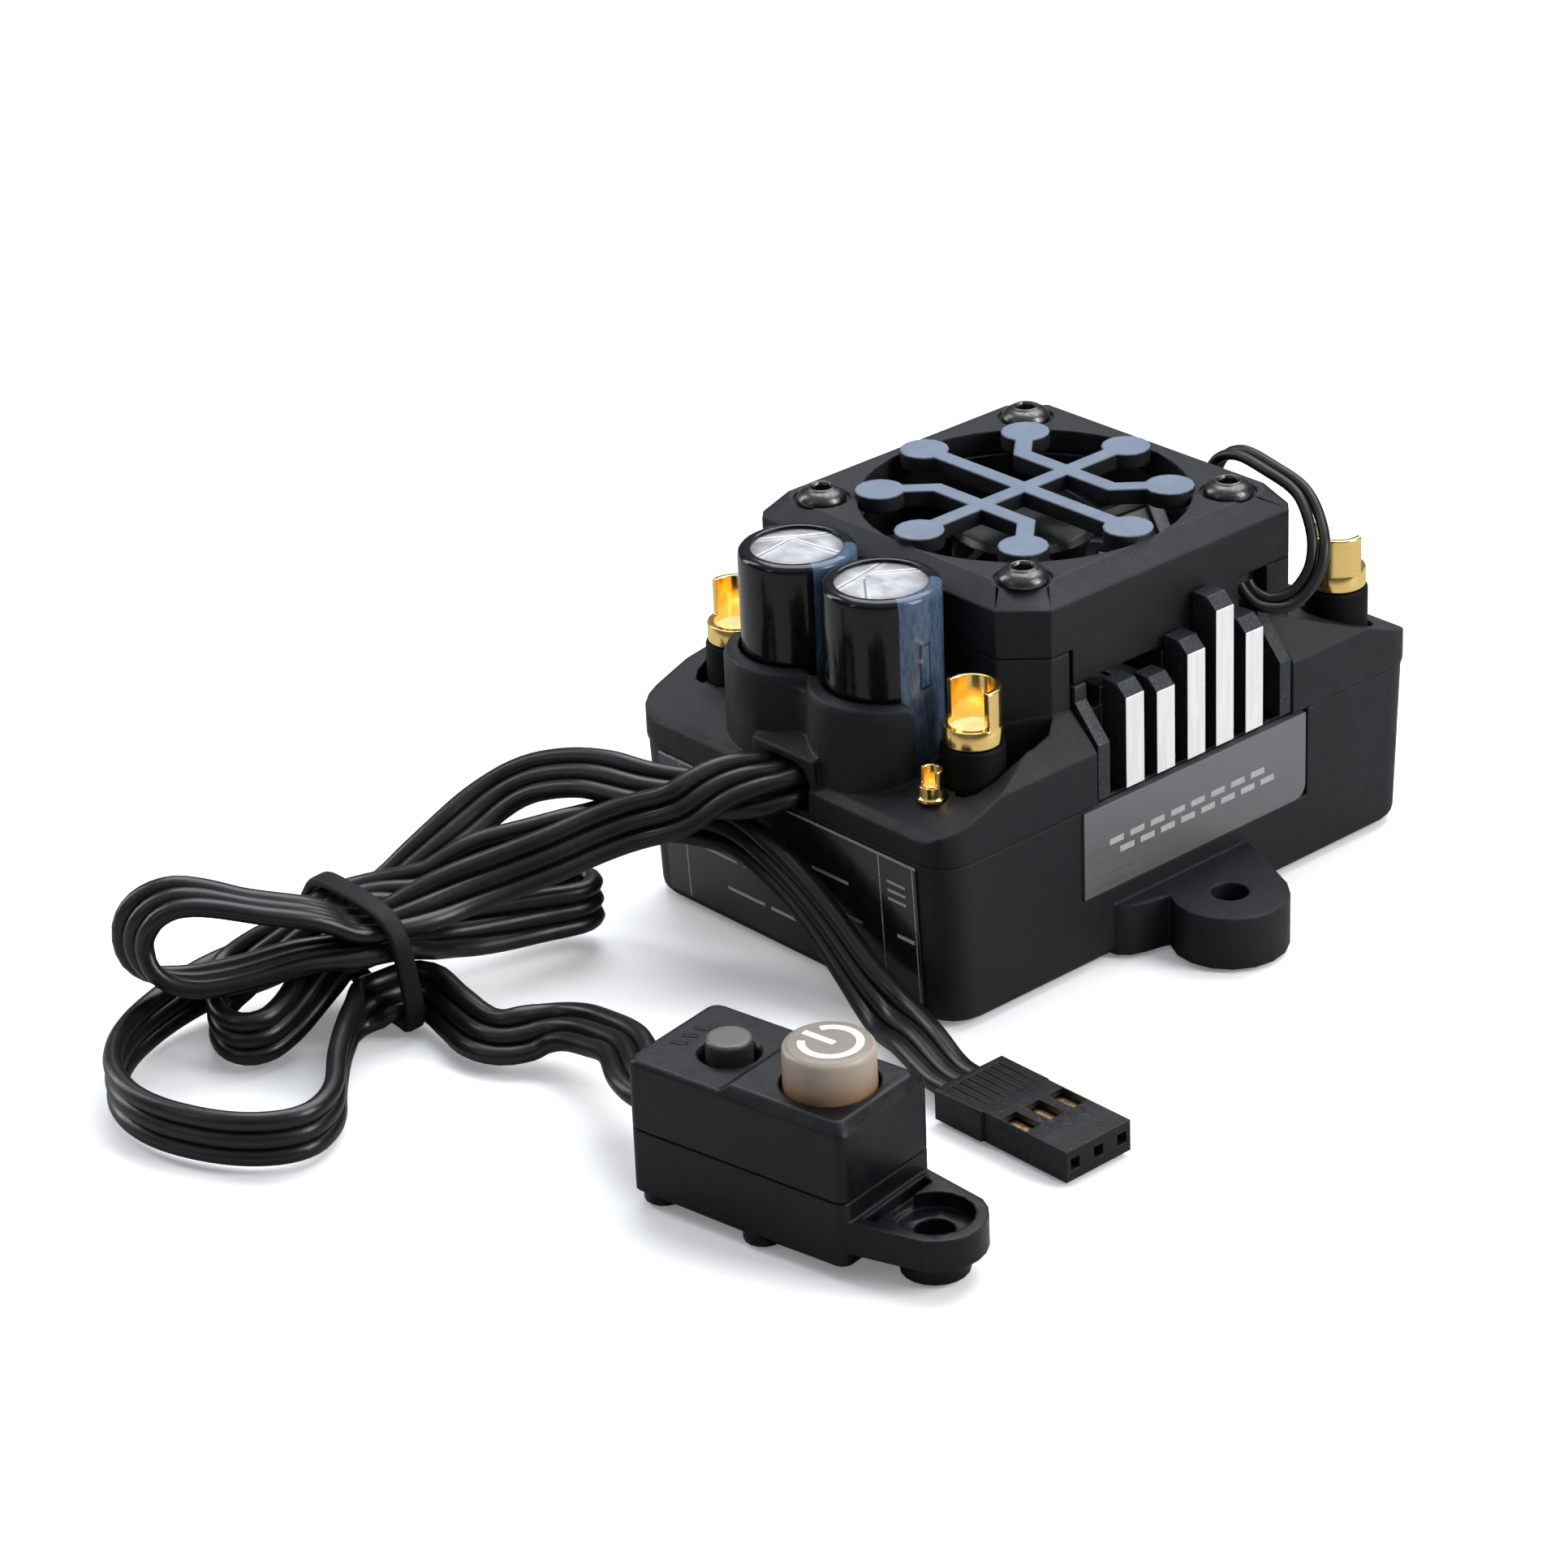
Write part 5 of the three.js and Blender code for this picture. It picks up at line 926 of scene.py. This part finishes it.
def sleeve(side):
    """Shrink sleeve, rolled over the rim of the can."""
    node = f"capacitor_sleeve_{side}"
    lo, hi = mm_box(node)
    bottom, top, radius = lo[2], hi[2], (hi[0] - lo[0]) / 2
    profile = [
        (3.86, top - 0.17), (3.86, top - 0.06), (3.93, top), (4.1, top + 0.015), (4.3, top),
        (4.52, top - 0.06), (4.72, top - 0.18), (4.87, top - 0.36), (radius - 0.03, top - 0.6),
        (radius, top - 0.95), (radius, top - 4), (radius - 0.01, top - 8), (radius, top - 12),
        (radius, bottom), (4.66, bottom), (4.66, top - 0.55), (4.5, top - 0.3),
        (4.2, top - 0.18)]
    add_shape(f"cap_sleeve_{side}", spin(profile, 96, middle(lo, hi)), f"sleeve_{side}",
              "sleeve", node)


def vent_height(x, y, r, grooves):
    """Height of the can's top: domed, with scored grooves between raised lips."""
    if r > VENT_RADIUS:
        return -0.02 * (r - VENT_RADIUS) / (CAN_RADIUS - VENT_RADIUS)
    nearest = 9.0
    for (ax, ay), (bx, by) in grooves:
        ux, uy = bx - ax, by - ay
        t = min(1, max(0, ((x - ax) * ux + (y - ay) * uy) / (ux * ux + uy * uy)))
        nearest = min(nearest, math.hypot(x - ax - t * ux, y - ay - t * uy))
    groove = -0.075 * math.exp(-(nearest / 0.075) ** 2)
    lip = 0.03 * math.exp(-(max(0, nearest - 0.02) / 0.3) ** 2)
    return groove + lip + 0.035 * cos(pi * (r / VENT_RADIUS) / 2)


def can(side):
    node = f"capacitor_can_{side}"
    lo, hi = mm_box(node)
    cx, cy = middle(lo, hi)
    top, n = hi[2], CAN_SEGMENTS
    circle = [(cos(2 * pi * i / n), sin(2 * pi * i / n)) for i in range(n)]
    radii = list(np.linspace(0, 3.84, 49)[1:]) + [3.95, 4.2, 4.4, 4.5, CAN_RADIUS]
    verts, faces = [(cx, cy, top)], []
    for r in radii:
        for c, s in circle:
            height = vent_height(r * c, r * s, r, GROOVES[side])
            verts.append((cx + r * c, cy + r * s, top + height - 0.04))
    verts += [(cx + CAN_RADIUS * c, cy + CAN_RADIUS * s, CAN_BOTTOM) for c, s in circle]
    verts.append((cx, cy, CAN_BOTTOM))
    last = 1 + len(radii) * n
    for i in range(n):
        j = (i + 1) % n
        faces.append([0, 1 + i, 1 + j])
        for row in range(1, last, n):
            faces.append([row + i, row + n + i, row + n + j, row + j])
        faces.append([last + i, len(verts) - 1, last + j])
    add_shape(f"cap_can_{side}", (verts, faces), "can", "can", node, sharp=60)


for side in ("left", "right"):
    sleeve(side)
    can(side)

# ------------------------------------------------------------------ gold posts
POST_RADIUS, POST_RING = 2.5, 22.3  # the ring is the underside of the wide part
POST_Y = {"battery": -20.1, "motor": 22.3}


def cupped_post(node, name, profile, segments, cutter, centre, bevel):
    """A turned post with one side of its cup cut away by the cutter box."""
    mesh = cut(clean_mesh("raw", spin(profile, segments)), box_mesh([cutter]))
    mesh.transform(Matrix.Translation((centre[0] * MM, centre[1] * MM, 0)))
    ob = add_piece(name, mesh, "gold", "gold", node, sharp=35)
    soften(ob, bevel, angle=40)


def power_post(node):
    """A large post, open on the side facing away from the case, and its black collar."""
    lo, hi = mm_box(node)
    top, ring, radius = hi[2], POST_RING, POST_RADIUS
    profile = [
        (0, 10.1), (1.6, 10.1), (1.6, ring), (radius - 0.12, ring), (radius, ring + 0.12),
        (radius, ring + 1.52), (radius - 0.05, ring + 1.6), (radius - 0.05, top - 0.1),
        (radius - 0.14, top), (1.99, top), (1.93, top - 0.08), (1.93, ring + 1.1),
        (1.7, ring + 0.92), (1.2, ring + 0.84), (0, ring + 0.8)]
    y = POST_Y[node.split("_")[0]]
    cutter = ((-4, 4), (0.45, 4) if y > 0 else (-4, -0.45), (24.0, 40))
    cupped_post(node, "gold_" + node, profile, 72, cutter, (middle(lo, hi)[0], y), bevel=0.045)

    collar = node.replace("post", "collar")
    lo, hi = mm_box(collar)
    profile = [(1.75, 14.8), (2.7, 14.8), (2.7, 21.95), (2.64, 22.15), (2.55, hi[2]),
               (1.8, hi[2])]
    add_shape("boot_" + node, spin(profile, 48, middle(lo, hi)), "collar", "collar", collar)


for post in ("battery_post_left", "battery_post_right",
             "motor_post_a", "motor_post_b", "motor_post_c"):
    power_post(post)

DATA_POST = [
    (0, 10.1), (0.6, 10.1), (0.6, 18.45), (1.1, 18.45), (1.15, 18.5), (1.15, 18.75),
    (1.0, 18.85), (1.0, 21.14), (0.95, 21.2), (0.73, 21.2), (0.68, 21.14), (0.68, 19.35),
    (0.5, 19.2), (0, 19.15)]
cupped_post("data_post", "gold_data_post", DATA_POST, 48, ((-2, 2), (-2, -0.2), (19.8, 30)),
            centre=(13.9, -24.5), bevel=0.03)


# ------------------------------------------------------------------ button-head screws
def hex_socket(angle, r, z):
    """Makes the socket six-sided and leaves the head and the shank round."""
    if z <= 32 or r > 0.8:
        return r
    turn = (angle + pi / 6) % (pi / 3) - pi / 6
    return r * cos(pi / 6) / cos(turn) * 1.12


def button_screw(number):
    node = f"cover_screw_{number}"
    lo, hi = mm_box(node)
    seat = hi[2] - 1.3
    dome = [(2.12 * cos(t) ** 0.8, seat + 0.16 + 1.12 * sin(t)) for t in np.linspace(0, 1.03, 14)]
    # the hollow runs from the rim of the socket down to its floor; heights above the seat
    hollow = [(1.16, 1.225), (1.08, 1.27), (1.0, 1.27), (0.93, 1.22), (0.8, 1.06), (0.79, 0.98),
              (0.78, 0.42), (0.5, 0.38), (0, 0.34)]
    profile = [(0, lo[2]), (1.2, lo[2]), (1.2, seat), (2.04, seat), (2.12, seat + 0.06)]
    profile += dome + [(r, seat + z) for r, z in hollow]
    shape = spin(profile, 72, middle(lo, hi), hex_socket)
    add_shape(f"cap_screw_{number}", shape, "steel", "black_steel", node, sharp=50)


for number in range(1, 5):
    button_screw(number)

# ------------------------------------------------------------------ fan wires
# x, y, z of the first wire, then the step from it to the second
FAN_WIRE = [
    (4.9, 16.55, 30.2, 0, 1, 0), (5.3, 17.55, 32.3, 0, 1, 0),
    (7.35, 17.65, 33.4, 0, 1, 0.1), (11.3, 17.45, 33.1, 0, 1, 0.1),
    (14.83, 17.25, 32.2, 0.1, 1, 0.1), (16.95, 16.4, 30.8, 0.5, 0.9, 0),
    (18.5, 15.3, 29.0, 0.9, 0.5, 0), (18.9, 14.26, 27.2, 0.9, 0, -0.5),
    (18.5, 12.7, 25.7, 0.6, -0.5, -0.8), (17.35, 11.2, 25.3, 0, -0.95, -0.4),
    (16.2, 10.6, 25.9, 0, -0.95, 0), (15.65, 10.5, 26.6, 0, -0.95, 0),
]
WIRE_RADIUS = 0.475
wire_circle = [(WIRE_RADIUS * cos(2 * pi * i / 18), WIRE_RADIUS * sin(2 * pi * i / 18))
               for i in range(18)]
first_wire, wire_step = np.hsplit(np.array(FAN_WIRE), 2)
for number, points in enumerate((first_wire, first_wire + wire_step), 1):
    path = smooth_path(points, step=0.35)
    add_shape(f"wire_{number}", sweep(path, untwisted(path), wire_circle), "wire", "lead",
              f"fan_wire_{number}")


# ------------------------------------------------------------------ three-core leads and band
def core_section(radius=0.8, pitch=1.55):
    """Outline of three round cores that run into one another."""
    def arc(centre, start, end, count):
        return [(centre + radius * cos(t), radius * sin(t)) for t in np.linspace(start, end, count)]

    meet = math.acos(pitch / 2 / radius)
    far = pi - meet
    return (arc(-pitch, pi, meet, 9) + arc(0, far, meet, 9)[1:] + arc(pitch, far, -far, 17)[1:]
            + arc(0, -meet, -far, 9)[1:] + arc(-pitch, -meet, -pi, 9)[1:-1])


def band_section(half_width=0.85, half_depth=0.4, round_x=0.32, round_y=0.3):
    """A flat rectangle with elliptical corners."""
    points = []
    for quarter, (sx, sy) in enumerate(((1, 1), (-1, 1), (-1, -1), (1, -1))):
        for t in np.linspace(0, pi / 2, 5):
            angle = quarter * pi / 2 + t
            points.append((sx * (half_width - round_x) + round_x * cos(angle),
                           sy * (half_depth - round_y) + round_y * sin(angle)))
    return points


for name, table, node in (("lead_to_switch", SWITCH_LEAD, "switch_cable"),
                          ("lead_to_receiver", RECEIVER_LEAD, "receiver_cable")):
    path = smooth_path(table, step=0.75)
    shape = sweep(path[:, :3], path[:, 3:], core_section())
    add_shape(name, shape, "lead", "lead", node, sharp=55)

path = smooth_path(BAND, step=0.6, closed=True)
shape = sweep(path, [BAND_AXIS] * len(path), band_section(), closed=True)
add_shape("rubber_band", shape, "band", "band", "cable_band", sharp=50)

# ------------------------------------------------------------------ switch keys
# middle of the switch pod and the directions of its length and width, in x and y
POD = np.array((28.9, -55.2))
POD_LENGTH, POD_WIDTH = np.array((0.98628, 0.16505)), np.array((-0.16505, 0.98628))
SET_RADIUS, SET_TOP = 1.85, 13.8
POWER_TOP = 16.2


def on_pod(along, across):
    return POD + POD_LENGTH * along + POD_WIDTH * across


def ridge(points, half_width, bottom, top):
    """A strip along points in x and y, with its upper edges slightly chamfered."""
    points = np.array(points)
    tangents = np.gradient(points, axis=0)
    tangents /= np.linalg.norm(tangents, axis=1)[:, None]
    section = [(half_width, bottom), (half_width, top - 0.015), (half_width - 0.03, top),
               (-half_width + 0.03, top), (-half_width, top - 0.015), (-half_width, bottom)]
    verts = [(*(point + np.array((-ty, tx)) * side), z)
             for point, (tx, ty) in zip(points, tangents) for side, z in section]
    m = len(section)
    faces = [[i + j, i + (j + 1) % m, i + m + (j + 1) % m, i + m + j]
             for i in range(0, len(verts) - m, m) for j in range(m)]
    faces.append(list(range(m))[::-1])
    faces.append(list(range(len(verts) - m, len(verts))))
    return verts, faces


profile = rounded([(0, 9.3), (2.6, 9.3), (2.6, 10.4), (SET_RADIUS, 10.4), (1.82, SET_TOP),
                   (0, SET_TOP)], radii=[0.1, 0.1, 0.1, 0.42], segments=6)
# the top is dished
profile = [(r, z - (0.05 * (1 - (r / SET_RADIUS) ** 2) if z > SET_TOP - 0.05 else 0))
           for r, z in profile]
add_shape("key_set", spin(profile, 72, on_pod(-4.3, -0.2)), "set_key", "set_key",
          "set_button", body="set_key", sharp=40)

profile = rounded([(0, 9.4), (3.98, 9.4), (3.98, 10.4), (3.6, 10.4), (3.55, POWER_TOP),
                   (0, POWER_TOP)], radii=[0.1, 0.1, 0.1, 0.62], segments=8)
add_shape("key_power", spin(profile, 96, on_pod(5.2, 0.0)), "power_key", "power_key",
          "power_button", body="power_key", sharp=40)

# standby symbol: an open ring and a stroke, a hair proud of the key
ring = [on_pod(5.3 + 2.22 * cos(a), 0.12 + 2.22 * sin(a))
        for a in np.linspace(-pi + 0.55, pi - 0.55, 60)]
stroke = [on_pod(5.65 - 0.29 * k, 0.1 + 0.004 * k) for k in range(11)]
symbol = joined([ridge(ring, 0.3, POWER_TOP - 0.03, POWER_TOP + 0.035),
                 ridge(stroke, 0.29, POWER_TOP - 0.03, POWER_TOP + 0.04)])
add_shape("key_symbol", symbol, "symbol", "power_key", body="power_key", sharp=40)

# three short moulded ticks beside the small key
ticks = [ridge([on_pod(-8.9 + k * 0.3, across + 0.12 * k) for k in range(5)], 0.19, 12.3, 12.46)
         for across in (-1.55, -0.2, 1.15)]
add_shape("key_ticks", joined(ticks), "switch", "switch_plastic", sharp=40)

# ------------------------------------------------------------------ print: plain dashes
# x0, x1, z0, z1 of each dash on the label
LABEL_DASHES = [
    (13.0, 15.0, 6.85, 7.2), (12.2, 14.3, 11.7, 11.95), (12.2, 14.3, 10.9, 11.15),
    (12.2, 14.3, 10.1, 10.35), (-9.8, -5.2, 8.55, 8.8), (-4.4, -1.4, 8.55, 8.8),
    (3.0, 7.4, 9.6, 9.9), (-12.0, -6.6, 6.5, 6.75), (-5.8, -0.4, 6.5, 6.75),
    (2.6, 8.8, 6.5, 6.75), (-8.0, -3.4, 3.6, 3.9), (-2.6, 1.2, 3.6, 3.9), (4.4, 9.2, 3.6, 3.9),
]
BOX_FACES = ((0, 1, 2, 3), (4, 5, 6, 7), (0, 1, 5, 4), (1, 2, 6, 5), (2, 3, 7, 6), (3, 0, 4, 7))
BADGE_PITCH = 2.4


def label_dash(x0, x1, z0, z1):
    """A thin dash that follows the slope of the label."""
    lo, hi = mm_box("front_label")
    verts = []
    for z in (z0, z1):
        y = lo[1] + (hi[1] - lo[1] - 0.16) * (1 - (z - lo[2]) / (hi[2] - lo[2]))
        verts += [(x0, y - 0.012, z), (x1, y - 0.012, z), (x1, y + 0.02, z), (x0, y + 0.02, z)]
    return verts, BOX_FACES


add_shape("label_print", joined([label_dash(*dash) for dash in LABEL_DASHES]), "ink", "label",
          sharp=30)
face_x = mm_box("side_badge")[1][0]
bars = [((face_x - 0.02, face_x + 0.02), (y, y + 1.65), heights)
        for first_y, heights in ((-9.6, (10.55, 11.1)), (-8.4, (9.5, 10.05)))
        for y in np.arange(first_y, 9.5, BADGE_PITCH)]
add_piece("badge_print", box_mesh(bars, bevel=0.01), "ink", "badge", sharp=30)


# ------------------------------------------------------------------ floor, world, lights, camera
# from here on lengths are in metres and light powers in watts
def floor_material():
    """Pale to the camera, darker in the light it throws back."""
    mat = Graph("pale_floor")
    cloud = mat.noise(0.002, detail=2)
    seen = mat.node("LightPath").outputs["Is Camera Ray"]
    pale = mat.mix(cloud, (0.90, 0.90, 0.905), (0.93, 0.93, 0.93))
    dark = mat.mix(cloud, (0.36, 0.36, 0.365), (0.38, 0.38, 0.38))
    return mat.set(Base_Color=mat.mix(seen, dark, pale), Roughness=0.75, Specular_IOR_Level=0.1,
                   Emission_Color=(1, 1, 1), Emission_Strength=mat.times(seen, 0.16))


def add_floor(half=3.0, z=-0.0004):
    mesh = bpy.data.meshes.new("floor")
    mesh.from_pydata([(-half, -half, z), (half, -half, z), (half, half, z), (-half, half, z)],
                     [], [[0, 1, 2, 3]])
    mesh.materials.append(floor_material())
    floor = bpy.data.objects.new("floor", mesh)
    scene.collection.objects.link(floor)


def set_world():
    """White to the camera; a soft sky, brighter overhead, to everything else."""
    world = bpy.data.worlds.new("studio")
    scene.world = world
    world.use_nodes = True
    tree = world.node_tree
    tree.nodes.clear()

    def node(kind, inputs=None):
        return add_node(tree, "ShaderNode" + kind, inputs)

    direction = node("SeparateXYZ", {0: node("TexCoord").outputs["Generated"]})
    sky = node("ValToRGB", {0: direction.outputs["Z"]})
    low, high = sky.color_ramp.elements
    low.position, low.color = 0.0, (0.10, 0.10, 0.104, 1)
    high.position, high.color = 1.0, (0.62, 0.66, 0.72, 1)
    sky.color_ramp.elements.new(0.35).color = (0.16, 0.165, 0.175, 1)
    glow = node("Background", {0: sky.outputs[0], 1: 1.0})
    white = node("Background", {0: (1, 1, 1)})
    mixed = node("MixShader", {0: node("LightPath").outputs["Is Camera Ray"],
                               1: glow.outputs[0], 2: white.outputs[0]})
    node("OutputWorld", {0: mixed.outputs[0]})


LIGHT_AIM = Vector((0.004, -0.020, 0.014))


def softbox(name, place, size, power, colour=(1, 1, 1)):
    light = bpy.data.lights.new(name, "AREA")
    light.shape = "RECTANGLE"
    light.size, light.size_y = size
    light.energy, light.color = power, colour
    ob = bpy.data.objects.new(name, light)
    scene.collection.objects.link(ob)
    ob.location = place
    ob.rotation_mode = "QUATERNION"
    ob.rotation_quaternion = (LIGHT_AIM - Vector(place)).to_track_quat("-Z", "Y")


CAMERA_TARGET = (-0.00651, -0.02232, 0.012)
CAMERA_DISTANCE = 0.42018
# azimuth is turned from -Y towards +X
AZIMUTH, ELEVATION, ROLL = radians(48.94), radians(26.48), radians(-2.47)


def add_camera():
    camera = bpy.data.cameras.new("camera")
    camera.sensor_width = 36.0
    camera.lens = 115.2782609
    camera.clip_start, camera.clip_end = 0.01, 20.0
    back = Vector((sin(AZIMUTH) * cos(ELEVATION), -cos(AZIMUTH) * cos(ELEVATION), sin(ELEVATION)))
    level = Vector((cos(AZIMUTH), sin(AZIMUTH), 0))
    upright = back.cross(level)
    right = level * cos(ROLL) + upright * sin(ROLL)
    up = -level * sin(ROLL) + upright * cos(ROLL)
    place = [start + step * CAMERA_DISTANCE for start, step in zip(CAMERA_TARGET, back)]
    ob = bpy.data.objects.new("camera", camera)
    scene.collection.objects.link(ob)
    ob.matrix_world = Matrix((*zip(right, up, back, place), (0, 0, 0, 1)))
    scene.camera = ob


add_floor()
set_world()
softbox("top_box", (-0.14, 0.26, 0.60), size=(0.70, 0.50), power=5.6, colour=(0.94, 0.97, 1.0))
softbox("left_box", (-0.46, -0.22, 0.26), size=(0.12, 0.50), power=1.3)
softbox("right_box", (0.50, 0.22, 0.30), size=(0.25, 0.45), power=3.3, colour=(1.0, 0.99, 0.97))
softbox("front_strip", (-0.10, -0.62, 0.30), size=(0.05, 0.34), power=0.2)
add_camera()
scene.view_settings.view_transform = "Standard"
scene.view_settings.look = "None"

bpy.context.view_layer.update()
